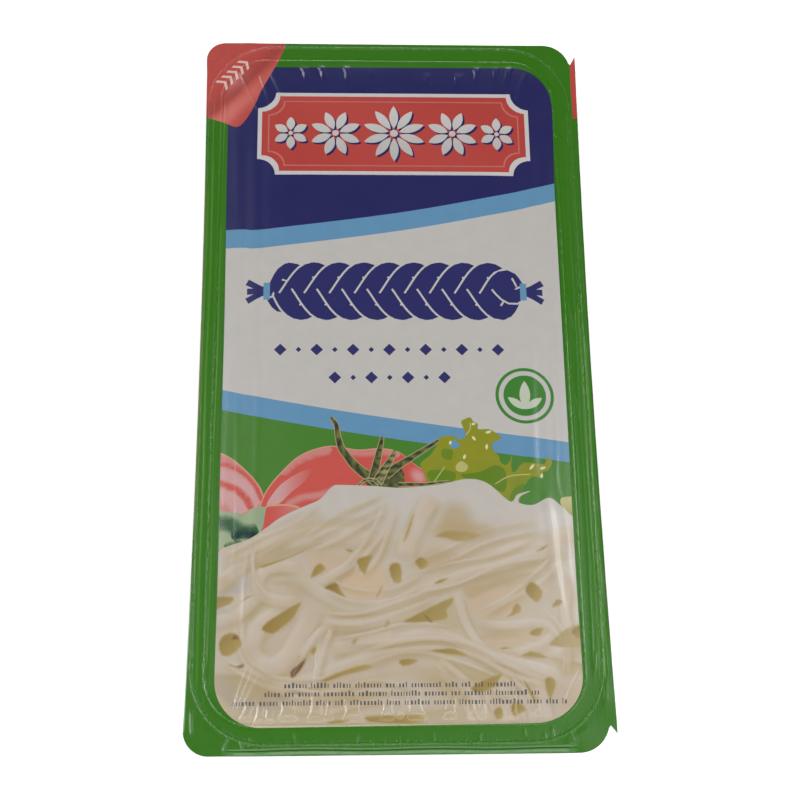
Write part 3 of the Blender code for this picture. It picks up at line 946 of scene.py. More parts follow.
def grown(outline, distance):
    """The outline with every point moved outwards, or inwards where the distance is negative."""
    points = np.array(outline)
    runs = np.roll(points, -1, axis=0) - np.roll(points, 1, axis=0)
    runs /= np.maximum(np.hypot(runs[:, 0], runs[:, 1]), 1e-9)[:, None]
    after = np.roll(points, -1, axis=0)
    area = np.sum(points[:, 0] * after[:, 1] - after[:, 0] * points[:, 1])
    outward = np.stack([runs[:, 1], -runs[:, 0]], 1) * np.sign(area)
    return [tuple(p) for p in points + outward * distance]


THREAD_SHADE = 0.5               # strength of the shade that a thread casts
THREAD_ENDS = 0.18               # share of a thread's length over which each end fades
FINE_THREAD = 1.2                # a thread with a smaller half width has its middle in the film's mesh


def add_thread(art, points, half, colour, edge, strength=1.0):
    """One pulled thread: lit along one side, dull along the other, over the soft shade that it casts."""
    line = smooth_line(points, steps=5)
    shade_line = [(x + 0.4, y - 0.8) for x, y in line]
    reach = half + 1.1
    phase = points[0][0] + 2.0 * points[0][1]

    def ends(along):
        return smoothstep(along / THREAD_ENDS) * smoothstep((1.0 - along) / THREAD_ENDS)

    def shade(x, y):
        along, aside, _ = nearest_on_line(x, y, shade_line)
        patchy = 0.7 + 0.3 * np.sin(7.0 * along + phase)
        fade = smoothstep((reach - np.abs(aside)) / 1.9) * patchy * ends(along)
        return painted(SHADE, x, THREAD_SHADE * strength * fade)

    def body(x, y):
        along, aside, lit = nearest_on_line(x, y, line)
        across = np.clip(np.abs(aside) / half, 0.0, 1.0)
        side = lit / half
        slow = 0.5 + 0.5 * np.sin(along * 9.0 + phase)
        grain = 0.5 + 0.5 * np.sin(4.5 * aside / half + 3.0 * np.sin(along * 7.0 + phase))
        tint = blend(colour, CHEESE_WARM, 0.42 * slow + 0.12 * grain)
        tint = blend(tint, CHEESE_LIT, 0.55 * smoothstep((side + 0.3) / 0.9))
        tint = blend(tint, edge, 0.55 * smoothstep((-side - 0.2) / 0.9))
        return painted(tint, x, strength * smoothstep((1.0 - across) / 0.45) * ends(along))

    if half < FINE_THREAD:
        art.middles.append(line)
    art.add(ribbon(shade_line, tapered(len(line), reach, 0.1)), shade, within="heap")
    art.add(ribbon(line, tapered(len(line), half, 0.06)), body, within="heap")


# Threads of the heap, from the lowest to the topmost: points and half width
THREADS = (
    (((-50, -57), (-38, -53), (-26.9, -48.3), (-16.6, -47.4), (-8, -49), (-2, -53)), 3),
    (((-50, -62.5), (-43.7, -57.7), (-39.4, -53.9), (-35.4, -50.8), (-28, -47.6)), 2.4),
    (((22.3, -55.3), (29.2, -52), (37.7, -49.3), (50, -46.2)), 2.6),
    (((-50, -70.5), (-43, -69), (-38.6, -65.6), (-34, -60)), 2),
    (((9.4, -36), (7.9, -38.7), (5.1, -43.6), (2.6, -48.8), (1.2, -55)), 2.9),
    (((-24.7, -60.9), (-20.7, -60.2), (-16.6, -57.8), (-11.2, -54.4), (-6.3, -50.9)), 1.6),
    (((-50, -82), (-39.8, -82.6), (-35.4, -85.4), (-29.8, -86.9), (-23.2, -85.5), (-16.6, -82.6),
      (-9.9, -80.3), (-0.2, -78.4)), 2.1),
    (((-22, -71), (-12, -71.4), (-2, -69.4), (8, -66)), 2),
    (((-19, -78), (-10, -76), (0, -74)), 2),
    (((7.6, -79.2), (12.3, -83.3), (17.6, -88.5), (23, -98)), 2.2),
    (((30.4, -77), (38.6, -78.4), (50, -80.6)), 1.9),
    (((33.5, -83.5), (35.1, -86.9), (36.6, -91.3), (37.8, -97)), 1.5),
    (((26.7, -82.8), (27.9, -86.9), (27, -91.9), (27, -98)), 1.7),
    (((42, -56), (43.6, -62), (43, -70), (45.8, -80)), 1.7),
    (((14.9, -61.3), (16.1, -68.5), (18.1, -73.4), (21.4, -77.9), (26, -80.6)), 1.3),
    (((18.1, -71.3), (27.1, -71.8), (34.8, -71.1), (39.3, -72.5), (38.4, -75.4), (33.1, -78), (25, -79.8)),
     1.5),
    (((-5.7, -76.7), (6, -73.6), (11.8, -74.4), (17.9, -77.2), (23.4, -79.7), (29.8, -81.4), (36, -82.9),
      (40.7, -84.9), (43.4, -88)), 1.8),
    (((-25.4, -65.3), (-30.1, -67.6), (-35.4, -70.8), (-38.2, -75.1), (-37.6, -79.5), (-33.2, -82),
      (-29, -79.4), (-25.9, -74.2), (-23.3, -69.5), (-23, -64)), 3.1),
    (((-26.5, -80.5), (-22.8, -75.4), (-19.8, -72.4), (-16, -70.6)), 1.2),
    (((-21.7, -86), (-20.5, -80.5), (-18.7, -75), (-17, -71)), 0.9),
    (((-24.2, -57), (-29.2, -56), (-34.6, -56.6), (-36.9, -60.2), (-35.2, -63.6), (-30.5, -65),
      (-24.7, -65.2)), 1.9),
    (((-31.9, -55), (-24.7, -59.9), (-20, -63.3), (-13.9, -66.1), (-7.2, -67.2), (-1, -65.8), (4.4, -63.2),
      (11.5, -60.4), (17.1, -58.3), (25.6, -56.2), (32.8, -54.1), (39.2, -52.3), (50, -50.6)), 2),
)

# Bundles of fine threads: points of the middle one, how many, their spacing and half width
BUNDLES = (
    (((-47, -55.5), (-37, -50.5), (-27, -45.6), (-18.5, -41)), 3, 2.4, 0.7),
    (((-37.6, -49), (-38.2, -55), (-37.4, -61), (-33, -65.5)), 2, 1.8, 0.6),
    (((-25, -50), (-16, -45.5), (-8, -41.5), (-2, -38.5)), 3, 2, 0.6),
    (((-1, -38.5), (-4, -46), (-8.5, -53), (-13, -58.5)), 3, 2, 0.6),
    (((0, -56.5), (12, -52.5), (24, -48.5), (38, -45.5)), 2, 2.4, 0.7),
    (((-20, -60), (-12, -63), (-2, -62.5), (8, -59)), 2, 2.4, 0.6),
    (((2, -62), (14, -58), (26, -54), (38, -51)), 2, 3.4, 0.6),
    (((20, -68.5), (28, -65), (36, -60), (42, -53)), 2, 2.4, 0.6),
    (((-22, -68.5), (-12, -69.5), (-2, -68), (10, -62.5)), 2, 2, 0.6),
    (((-18, -76), (-8, -74), (2, -73), (14, -74.5)), 2, 2.6, 0.6),
    (((-12, -81), (2, -77), (16, -79), (30, -84.5), (41, -88.5)), 3, 2.4, 0.7),
    (((-46, -79), (-40, -83), (-30, -86), (-16, -85)), 2, 2.4, 0.7),
    (((9, -81), (14, -85), (19, -91), (22, -97)), 3, 2.2, 0.6),
    (((24, -84), (27, -88), (30, -92), (31, -97)), 3, 2.6, 0.6),
    (((-42, -70), (-41.5, -76), (-38.5, -82), (-32, -85)), 2, 2, 0.6),
    (((-34, -88.5), (-20, -90), (-6, -88.5), (6, -90.5)), 3, 2.4, 0.6),
    (((36, -69), (41, -72), (43.5, -78), (42, -86)), 2, 2.2, 0.6),
)

# Broad soft areas under the threads: outline, colour, strength and softness
AREAS = (
    (((-17, -60.5), (-9, -54.5), (-4, -56), (-2.5, -63), (-8, -66), (-13.5, -65)), (193, 171, 142), 0.8, 1.8),
    (((-25, -53.5), (-18, -52.3), (-8, -52.8), (-13, -57), (-20, -60)), CHEESE_WARM, 0.7, 1.2),
    (((-48, -57), (-40, -55.5), (-38, -62), (-44, -64), (-48, -64)), (168, 163, 154), 0.8, 1.5),
    (((-47, -83), (-38, -84), (-30, -86.5), (-28, -92), (-38, -95), (-46, -90)), (172, 160, 138), 0.8, 1.2),
    (((17.5, -63), (25, -61), (33, -60), (32, -66), (28, -69.7), (19, -69.5)), CHEESE_WARM, 0.9, 1.2),
    (((16, -61.5), (22, -60.5), (32, -57.5), (37, -57.5), (33, -59.6), (25, -62.5), (18, -65.5)),
     CHEESE_OLIVE, 0.8, 1.3),
    (((20, -74.5), (28, -73), (35, -73.5), (34, -76.5), (26, -78.3), (22, -77.5)), CHEESE_WARM, 0.9, 1),
    (((11, -80.5), (20, -81.5), (26, -83), (25.5, -88), (18, -88.5), (13.5, -84.5)), (171, 158, 124), 0.8,
     1.6),
    (((-20, -66.5), (-12, -68), (-3, -68.5), (-4, -71), (-14, -70.5), (-19, -69)), (180, 166, 132), 0.7, 1),
    (((-1, -71), (3, -69.5), (13, -65), (15, -68), (16, -73), (12, -73), (6, -71.5)), (175, 162, 128), 0.8,
     1.2),
    (((38, -77), (47, -76), (48, -84), (42, -84.5), (38, -80)), (176, 163, 132), 0.8, 1),
    (((-40, -93), (-10, -93.5), (6, -93), (14, -92), (14, -98), (-40, -98)), (176, 162, 134), 0.7, 1),
    (((-40, -65), (-31, -65.5), (-26, -64.5), (-33, -69.5), (-37, -70.5), (-41, -69)), (176, 168, 140), 0.8,
     1),
    (((-38, -84), (-33, -82.5), (-28, -84), (-30, -86)), (172, 160, 120), 0.7, 0.8),
    (((41, -55), (47, -54), (47, -60), (44, -62)), (196, 178, 160), 0.6, 1),
    # At the heap's right side: the print's pale tone with a painted reflection of the film's sheen over it
    (((36, -42), (42, -40), (50, -42), (50, -73), (44, -71), (40, -60), (37, -50)), (194, 188, 180), 0.8,
     2.5),
    # At the heap's left side: the print's cool tone with a painted reflection of the film's sheen over it
    (((-50, -53), (-38, -49), (-28, -45.5), (-22, -50), (-34, -55), (-40, -61), (-50, -62)), (182, 175, 168),
     0.8, 2.5),
    (((-50, -66), (-43, -67), (-42, -71), (-50, -73.5)), (170, 161, 154), 0.7, 1.6),
    (((-50, -83), (-42, -84), (-30, -88), (-32, -93), (-44, -92)), (166, 154, 132), 0.7, 1.6),
)

# Soft dull areas between the threads: centre, reach along and across, turn, strength
DULL_PLACES = (
    (15.2, -43.6, 4.2, 4.6, 0.3, 0.75), (14.6, -46.8, 5.6, 2.2, 0, 0.90), (20, -47, 5, 2.4, 0.1, 0.65),
    (-16, -44.2, 9, 1.2, 0.10, 0.35),
    (-29, -43.8, 5, 0.9, 0.5, 0.25), (25.6, -60.4, 9, 1.6, 0.15, 0.6), (13, -88.4, 7, 2, -0.6, 0.5),
    (-45.6, -59.8, 2.6, 1.8, 0, 0.5), (-30.6, -60.4, 2.6, 0.7, 0, 0.5), (35.5, -48.4, 4, 1, 0.1, 0.3),
    (-18, -91, 13, 2.2, 0.1, 0.55), (8, -94, 8, 1.6, 0, 0.35), (-37.5, -88.6, 6, 1.6, -0.4, 0.5),
    (20, -85.6, 4, 1.8, 0.3, 0.6), (43, -83, 2.4, 2, 0, 0.6), (42.6, -54, 1.6, 2.6, 0.2, 0.3),
    (31, -57.6, 6, 1, 0.3, 0.45), (-10, -86, 9, 1.2, 0.2, 0.3), (26, -74.6, 6, 0.9, 0, 0.45),
    (2.6, -45.6, 1, 4.6, -0.35, 0.45), (9.5, -54.6, 5, 2.6, 0.2, 0.65), (-27, -61.8, 3.2, 1.6, -0.5, 0.45),
    (8, -85, 6, 2.4, -0.3, 0.40), (44.5, -79, 3, 1.6, 0, 0.45), (-37, -86.5, 7, 2, -0.2, 0.45),
    (13.4, -45.6, 3.6, 2.6, 0.2, 0.5), (-37.5, -78, 3, 2.4, 0.2, 0.3),
)

# Gaps that let the shaded depth of the heap show: outline, and depth, which is 1 or more for brown, 0 for
# dull yellow, and less for a fainter gap
GAPS = (
    (((-37, -56.2), (-35.3, -55), (-30.2, -53.6), (-23.8, -50.8), (-24.5, -52), (-30.2, -54.6),
      (-35.3, -56.5)), -0.4),
    (((-14.4, -51.2), (-11.5, -51.7), (-12.9, -52.7)), 0.1),
    (((-22.4, -56.4), (-20.7, -55), (-19, -56.4), (-20, -57.8), (-23.3, -59.4)), -0.1),
    (((-20, -61.6), (-16.6, -60.1), (-15.3, -62), (-13.7, -64.7), (-18, -62.7)), 0.3),
    (((-11.5, -54.7), (-9.4, -53.3), (-6.7, -53), (-7.7, -55.4), (-9.1, -58.8)), -0.1),
    (((-3, -56.9), (-1.9, -55.1), (0.5, -55.5), (0.7, -60.4), (-1.7, -60.5)), -0.2),
    (((-50, -63.9), (-44.9, -63.4), (-42.7, -63.9), (-43.9, -65.9), (-50, -67.5)), 0.2),
    (((-41.5, -65.2), (-39.2, -63.6), (-37.2, -63.3), (-40.2, -64.9)), 0.1),
    (((-35.9, -72.6), (-34.4, -70.4), (-31.4, -68.4), (-25.4, -65), (-26.2, -67.7), (-27.7, -70.1),
      (-30.3, -72.1), (-32.7, -73.8)), 0.15),
    (((-46.8, -75.7), (-45.3, -73.4), (-42.4, -73), (-40.6, -75.1), (-40.6, -76.8), (-43.2, -79.1),
      (-45.9, -79)), 0),
    (((-43.6, -74.9), (-42.2, -73.3), (-41, -74.9), (-42.3, -75.1)), 1.2),
    (((-44.5, -80.9), (-42.1, -81.6), (-39.8, -80.8), (-40.1, -82.4), (-42.1, -82.1)), 1),
    (((-28.4, -83.3), (-26.6, -81.5), (-24.1, -79.7), (-24.4, -81.5), (-25.9, -83.8), (-27.8, -85.2)), 1.2),
    (((-20.9, -85.7), (-18.2, -84.2), (-13.9, -82.6), (-8.9, -81.3), (-6.9, -82.7), (-14.6, -84.6),
      (-18.9, -86.1)), -0.3),
    (((-23.3, -78.2), (-21.9, -76.6), (-21.2, -77.9), (-22.3, -79.4)), -0.4),
    (((-4.3, -72.1), (-3.5, -70.3), (-2.5, -70.6), (-3.2, -72.4)), 0),
    (((-12.9, -76), (-10.9, -74.6), (-10.7, -75.3), (-11.9, -76.7)), 0.3),
    (((-6.2, -63.9), (-4.7, -61.2), (-4.3, -61.7), (-5.6, -64.4)), -0.1),
    (((-18.9, -95.5), (-13.6, -94.9), (-13.3, -96.1), (-17.9, -96.4)), 0),
    (((-9, -94.3), (2, -94.2), (2, -96.4), (-8, -96.1)), 0),
    (((9, -48.2), (12.4, -46.4), (17, -46.6), (22, -47.6), (19.6, -49.2), (15.6, -49.9), (12.5, -48.9)),
     -1.2),
    (((4.4, -41.2), (3.6, -44.6), (2.2, -48.8), (0.9, -49.8), (1.9, -46.6), (3.2, -43)), -0.5),
    (((3.9, -54.7), (5.7, -53.4), (7.7, -54.9), (7.3, -56.5), (5.6, -57.3), (4.5, -56.1)), -0.1),
    (((8.7, -60.7), (10.4, -59.5), (13.2, -59.1), (11.5, -60.6), (9.7, -61)), 0.1),
    (((35.5, -52.5), (37.9, -50.7), (39.7, -50.2), (38.2, -52)), -0.2),
    (((32.5, -63), (33.5, -60.7), (35.3, -60.4), (37.6, -63), (36.4, -65.7), (35, -65.8)), 0.1),
    (((29.2, -66.9), (30.5, -65.8), (31.7, -67.1), (31.1, -68.8), (27.2, -70), (28.8, -68.3)), -0.2),
    (((39.2, -67.4), (40.7, -64.8), (42.8, -65.2), (42, -66.6)), -0.4),
    (((33.1, -74.4), (34, -72.8), (36.8, -72.1), (37.1, -73.2), (36, -74.9)), 0),
    (((0.1, -71.2), (4.3, -68.5), (11.3, -65), (14.2, -64.3), (13.7, -66.4), (12.3, -67.8), (12.6, -69.9),
      (8.8, -70.9)), -0.5),
    (((6.1, -68.8), (7.1, -69.4), (8.7, -71.1), (7.4, -70.9)), 1.2),
    (((7.1, -78.2), (11, -77.5), (13.8, -77.5), (17.9, -79.7), (13.7, -79.6), (10, -79)), 0.1),
    (((-0.5, -80.2), (4.5, -80.1), (3.7, -81.6), (0.3, -82.3)), -0.2),
    (((25.3, -77.7), (26.9, -77.3), (28.8, -77.7), (26.5, -78.3)), 0.1),
    (((30.6, -79.9), (33.4, -78.2), (37.9, -79.7), (36.8, -80.7), (33, -80.1)), -0.4),
    (((38, -76.7), (41.7, -73.2), (44.9, -71.5), (48, -71.5), (48, -77), (43.1, -77.8), (40, -77.4)), -1.2),
    (((44, -73.6), (46, -71.6), (48, -72), (47, -75.4)), 0.2),
    (((17.6, -87.5), (25.6, -83.8), (25.4, -85.8), (23.1, -88.2), (19.6, -89.1)), 0),
    (((31.4, -85.5), (33.3, -87.9), (34.7, -91.4), (33.2, -90.7), (31.7, -87.2)), 0.1),
    (((36.5, -85.9), (38.3, -84.8), (39.9, -86.3), (39.1, -89.3), (37.7, -90.8)), -0.3),
    (((23.2, -93.6), (25, -92.2), (26.1, -93.3), (25.9, -95.3), (24.2, -95.7)), -0.1),
    (((27.4, -92.3), (29.8, -90.9), (32.1, -93.3), (30.3, -94.3), (28.3, -94.9)), 0),
    (((-1.9, -94.5), (4.9, -93.8), (5.7, -96.4), (-1.9, -96.4)), -0.4),
)


def add_heap(art):
    """The heap of pulled cheese: a pale ground, broad areas, threads, dull places, then the gaps."""
    outline = smooth_line(HEAP_TOP, steps=5) + [(50.0, -PACK_FAR), (-50.0, -PACK_FAR)]

    def ground(x, y):
        share = 0.5 + 0.5 * np.sin(x * 0.21 + 2.0 * np.sin(y * 0.13)) * np.sin(y * 0.27 + 1.0)
        colours = blend(blend(CHEESE_BASE, CHEESE, share), CHEESE_TOP, smoothstep((y + 52.0) / 12.0))
        return painted(colours, x)

    art.add(outline, ground, name="heap")
    for row in AREAS:
        add_area(art, *row)
    for index, (points, half) in enumerate(THREADS):
        colour = CHEESE_COOL if index % 3 else CHEESE
        edge = CHEESE_OLIVE if index % 2 else (178, 162, 136)
        add_thread(art, points, half, colour, edge)
    draw = random.Random(11)
    for row in BUNDLES:
        add_bundle(art, draw, *row)
    for x, y, along, across, turn, strength in DULL_PLACES:
        soft_spot(art, (x, y), (along, across), turn, CHEESE_OLIVE, "heap", strength)
    for points, depth in GAPS:
        add_gap(art, points, depth)


def add_bundle(art, draw, points, count, spacing, half):
    """Fine threads that run roughly side by side."""
    line = np.array(points)
    normals = left_normals(line)
    for index in range(count):
        drift = np.array([draw.uniform(-0.5, 0.5) for _ in points])
        moved = line + normals * ((index - (count - 1) / 2 + drift) * spacing)[:, None]
        half_here = half * draw.uniform(0.75, 1.35)
        add_thread(art, [tuple(p) for p in moved], half_here, CHEESE_COOL, CHEESE_OLIVE, 0.8)


def add_area(art, points, colour, strength, soft):
    """A field of colour with blurred edges."""
    outline = blob(points)

    def paint(x, y):
        _, aside, _ = nearest_on_line(x, y, outline + outline[:1])
        return painted(colour, x, strength * smoothstep(np.abs(aside) / soft))

    art.add(outline, paint, within="heap")


def add_gap(art, points, depth):
    """A gap between threads: darkest at its upper left, with soft pointed edges."""
    outline = blob(points, 2)
    middle = np.mean(points, axis=0)
    reach = np.ptp(points, axis=0).max()
    brown = max(depth, 0.0)
    deep = np.array(GAP) + (np.array(GAP_DARK) - np.array(GAP)) * min(brown, 1.0)
    pale = deep + (np.array(GAP_PALE) - deep) * (0.9 - 0.5 * brown)

    def paint(x, y):
        _, aside, _ = nearest_on_line(x, y, outline + outline[:1])
        lean = smoothstep(0.5 + 0.9 * ((x - middle[0]) * 0.7 - (y - middle[1]) * 0.5) / reach)
        fade = (0.92 + 0.45 * min(depth, 0.0)) * smoothstep((np.abs(aside) + 0.08) / 0.8)
        return painted(blend(deep, pale, lean), x, fade)

    art.add(grown(outline, 0.10), paint, within="heap")
    if reach > 2.4:
        art.add(grown(outline, -0.40), paint, within="heap")


def design_print():
    art = Print()
    for draw_part in (add_edges, add_fields, add_plaque, add_plait, add_lozenge_rows, add_round_mark,
                      add_tomatoes, add_lettuce, add_vegetables, add_heap, add_fine_rows, add_peel_corner):
        draw_part(art)
    return art


# The film's mesh

def spaced(low, high, spacing):
    return np.linspace(low, high, int(round((high - low) / spacing)) + 1)


def grid(xs, ys):
    grid_x, grid_y = np.meshgrid(xs, ys)
    return np.stack([grid_x.ravel(), grid_y.ravel()], 1)


def film_grid():
    """Points of the film's mesh: close together over the folds, and far apart over the calm middle."""
    end = HALF_LENGTH - END_ZONE
    xs = np.concatenate([spaced(-HALF_WIDTH, CALM_LEFT, FINE)[:-1],
                         spaced(CALM_LEFT, CALM_RIGHT, COARSE)[:-1],
                         spaced(CALM_RIGHT, FOLDS_RIGHT, MEDIUM)[:-1],
                         spaced(FOLDS_RIGHT, HALF_WIDTH, FINE)])
    ys = np.concatenate([spaced(-HALF_LENGTH, -end, END_ROW)[:-1],
                         spaced(-end, end, ROW),
                         spaced(end, HALF_LENGTH, END_ROW)[1:]])
    picture = grid(spaced(CALM_LEFT, FOLDS_RIGHT, PICTURE_GRID), spaced(*PICTURE_ENDS, PICTURE_GRID))
    top_pleats = grid(spaced(-TOP_PLEATS, TOP_PLEATS, TOP_GRID_X), spaced(*TOP_PLEAT_ENDS, TOP_GRID_Y))
    return np.vstack([grid(xs, ys), picture, top_pleats])


def back_grid():
    near = grid(spaced(-HALF_WIDTH, HALF_WIDTH, BACK_GRID), spaced(-HALF_LENGTH, HALF_LENGTH, BACK_GRID))
    return near[rounded_distance(near[:, 0], near[:, 1], RIM) < 3.0]


def guide_lines():
    """Lines beside every sharp ridge and crease, so that the mesh turns exactly there."""
    loops = []
    for box, offsets in ((SEAL, (-0.55, -0.21, 0.0, 0.21, 0.55)), (RIM, (-0.5, -0.1, 0.08, 0.25, 0.42, 0.7))):
        for offset in offsets:
            wider = box[:2] + tuple(size + offset for size in box[2:])
            loops.append(rounded_outline(wider, steps=16))
    lines = []
    for folds, far in ((LONG_CREASES, 1.6), (CORNER_FOLDS, 1.5)):
        for fold in folds:
            for share in (-far, -0.5, 0.0, 0.5, far):
                lines.append(crease_line(fold, share * fold[5]))
    lines += pleat_lines()
    ys = np.linspace(-88.0, 88.0, 70)
    for streak in FLANGE_STREAKS:
        for share in (-1.3, -0.6, 0.0, 0.6, 1.3):
            lines.append(list(zip(streak_place(streak, ys) + share * streak[3], ys)))
    xs = np.linspace(-LIP_HALF_X - LIP_FADE, LIP_HALF_X + LIP_FADE, 60)
    for offset in (-0.35, -0.12, 0.0, 0.12, 0.35):
        lines.append(list(zip(xs, CREASE_Y + offset + 0.12 * np.sin(xs / 5.0))))
    return loops, lines


def triangulate(points, outlines, lines=()):
    """Triangles whose edges follow every outline and every open line."""
    corners = [Vector(p) for p in points]
    edges = []
    for outline in outlines:
        start = len(corners)
        corners += [Vector(p) for p in outline]
        count = len(outline)
        edges += [(start + index, start + (index + 1) % count) for index in range(count)]
    for line in lines:
        start = len(corners)
        corners += [Vector(p) for p in line]
        edges += [(start + index, start + index + 1) for index in range(len(line) - 1)]
    found, _, faces, _, _, _ = delaunay_2d_cdt(corners, edges, [], 0, 1e-4, False)
    return np.array([tuple(p) for p in found]), np.array(faces)


def lies_within(x, y, outline):
    """Whether the outline winds round each point."""
    corners = np.array(outline)
    low, high = corners.min(axis=0), corners.max(axis=0)
    held = (x > low[0]) & (x < high[0]) & (y > low[1]) & (y < high[1])
    near_x, near_y = x[held], y[held]
    winding = np.zeros(len(near_x), int)
    for (x0, y0), (x1, y1) in zip(corners, np.roll(corners, -1, axis=0)):
        side = (x1 - x0) * (near_y - y0) - (near_x - x0) * (y1 - y0)
        winding += (y0 <= near_y) & (y1 > near_y) & (side > 0)
        winding -= (y0 > near_y) & (y1 <= near_y) & (side < 0)
    held[held] = winding != 0
    return held


def paint_corners(corner_xy, shapes):
    """Colour of every triangle corner, from the shapes that cover the triangle."""
    middle = corner_xy.mean(axis=1)
    masks = {}
    colours = np.tile(np.array(GREEN, float), (len(middle), 3, 1))
    for shape in shapes:
        held = lies_within(middle[:, 0], middle[:, 1], shape["outline"])
        if shape["within"]:
            held &= masks[shape["within"]]
        if shape["name"]:
            masks[shape["name"]] = held
        if not held.any():
            continue
        where = corner_xy[held].reshape(-1, 2)
        layer = shape["paint"](where[:, 0], where[:, 1])
        alpha = layer[:, 3:] / 255.0
        under = colours[held].reshape(-1, 3)
        colours[held] = (under + alpha * (layer[:, :3] - under)).reshape(-1, 3, 3)
    return colours


def to_albedo(colours):
    """The albedo that shows as the given sRGB colour in this scene's light."""
    value = np.clip(colours / 255.0, 0.0, 1.0)
    level = np.where(value <= 0.04045, value / 12.92, ((value + 0.055) / 1.055) ** 2.4)
    return np.maximum((level - GLOSS_LIFT) / LIGHT_GAIN, LEAST_ALBEDO)


def slope_normals(x, y, height):
    slope_x = (height(x + SLOPE_STEP, y) - height(x - SLOPE_STEP, y)) / (2 * SLOPE_STEP)
    slope_y = (height(x, y + SLOPE_STEP) - height(x, y - SLOPE_STEP)) / (2 * SLOPE_STEP)
    normals = np.stack([-slope_x, -slope_y, np.ones_like(x)], 1)
    return normals / np.linalg.norm(normals, axis=1)[:, None]


def boundary_loop(faces):
    """The boundary of a triangulated disc, as one ring of indices running anticlockwise."""
    edges = {}
    for a, b, c in faces:
        for start, end in ((a, b), (b, c), (c, a)):
            edges[(int(start), int(end))] = True
    following = {start: end for start, end in edges if (end, start) not in edges}
    first = next(iter(following))
    ring = [first]
    while following[ring[-1]] != first:
        ring.append(following[ring[-1]])
    return ring


def inner_triangles(xy, faces, outline):
    """The triangles whose middle lies within the outline."""
    middle = xy[faces].mean(axis=1)
    return faces[lies_within(middle[:, 0], middle[:, 1], outline)]


def turned(points, faces, upward):
    """The triangles, all facing up or all facing down."""
    first = points[faces[:, 1]] - points[faces[:, 0]]
    second = points[faces[:, 2]] - points[faces[:, 0]]
    area = first[:, 0] * second[:, 1] - first[:, 1] * second[:, 0]
    wrong = area < 0 if upward else area > 0
    faces[wrong] = faces[wrong][:, ::-1]
    return faces


def film_top(art):
    """The printed side: its points in x and y, and its triangles."""
    die = die_outline()
    loops, lines = guide_lines()
    outlines = [die] + loops + [shape["outline"] for shape in art.shapes]
    xy, faces = triangulate(film_grid(), outlines, lines + art.middles)
    used, faces = np.unique(inner_triangles(xy, faces, die), return_inverse=True)
    xy = xy[used]
    return xy, turned(xy, faces.reshape(-1, 3), upward=True)


def film_back(edge, start):
    """The plain back: points inside the cut edge, whose own points count up from start, and triangles."""
    xy, faces = triangulate(back_grid(), [[tuple(point) for point in edge]])
    faces = inner_triangles(xy, faces, edge)
    known = {tuple(np.round(point, 3)): start + index for index, point in enumerate(edge)}
    indices = []
    inner = []
    for point in xy:
        key = tuple(np.round(point, 3))
        if key in known:
            indices.append(known[key])
        else:
            indices.append(start + len(edge) + len(inner))
            inner.append((point[0], point[1], float(plain_height(point[:1], point[1:2])[0]) - BACK_DEPTH))
    return np.array(inner), np.array(indices)[faces]


def set_attributes(mesh, points, faces, top_colours):
    """The print's colours at the triangles' corners, and how crinkled and how dull each point is."""
    inks = mesh.color_attributes.new("print", "FLOAT_COLOR", "CORNER")
    values = np.ones((len(faces), 3, 4), np.float32)
    values[:len(top_colours), :, :3] = top_colours
    # The cut edges and the back take a dark tone, which is painted shade along the cut edge
    values[len(top_colours):, :, :3] = to_albedo(np.array(FILM_EDGE_SHADE, float))
    inks.data.foreach_set("color", values.ravel())
    for name, amount in (("crinkle", crinkle), ("haze", haze)):
        held = mesh.attributes.new(name, "FLOAT", "POINT")
        held.data.foreach_set("value", amount(points[:, 0], points[:, 1]).astype(np.float32))


def set_normals(mesh, points, faces, top_count):
    """Normals from the film's own slope on the printed side, and flat ones elsewhere."""
    normals = np.zeros((len(faces), 3, 3))
    smooth = slope_normals(points[:, 0], points[:, 1], film_height)
    normals[:top_count] = smooth[faces[:top_count]]
    corners = points[faces[top_count:]]
    facing = np.cross(corners[:, 1] - corners[:, 0], corners[:, 2] - corners[:, 0])
    facing /= np.maximum(np.linalg.norm(facing, axis=1), 1e-12)[:, None]
    normals[top_count:] = facing[:, None, :]
    mesh.normals_split_custom_set(normals.reshape(-1, 3).tolist())


TOP_SHARE = 0.96                     # of the bake's square, for the printed side
STRIP_START = 0.97


def set_uv(mesh, points, faces, top_count):
    """The printed side takes most of the bake's square, and the rest a strip beside it."""
    uv = mesh.uv_layers.new(name="OFBake")
    across = (points[:, 0] + HALF_WIDTH) / (2 * HALF_WIDTH)
    along = (points[:, 1] + HALF_LENGTH) / (2 * HALF_LENGTH)
    places = np.stack([across[faces], along[faces] * TOP_SHARE], 2)
    places[top_count:, :, 1] = STRIP_START + places[top_count:, :, 1] * (1.0 - STRIP_START)
    uv.data.foreach_set("uv", places.astype(np.float32).ravel())


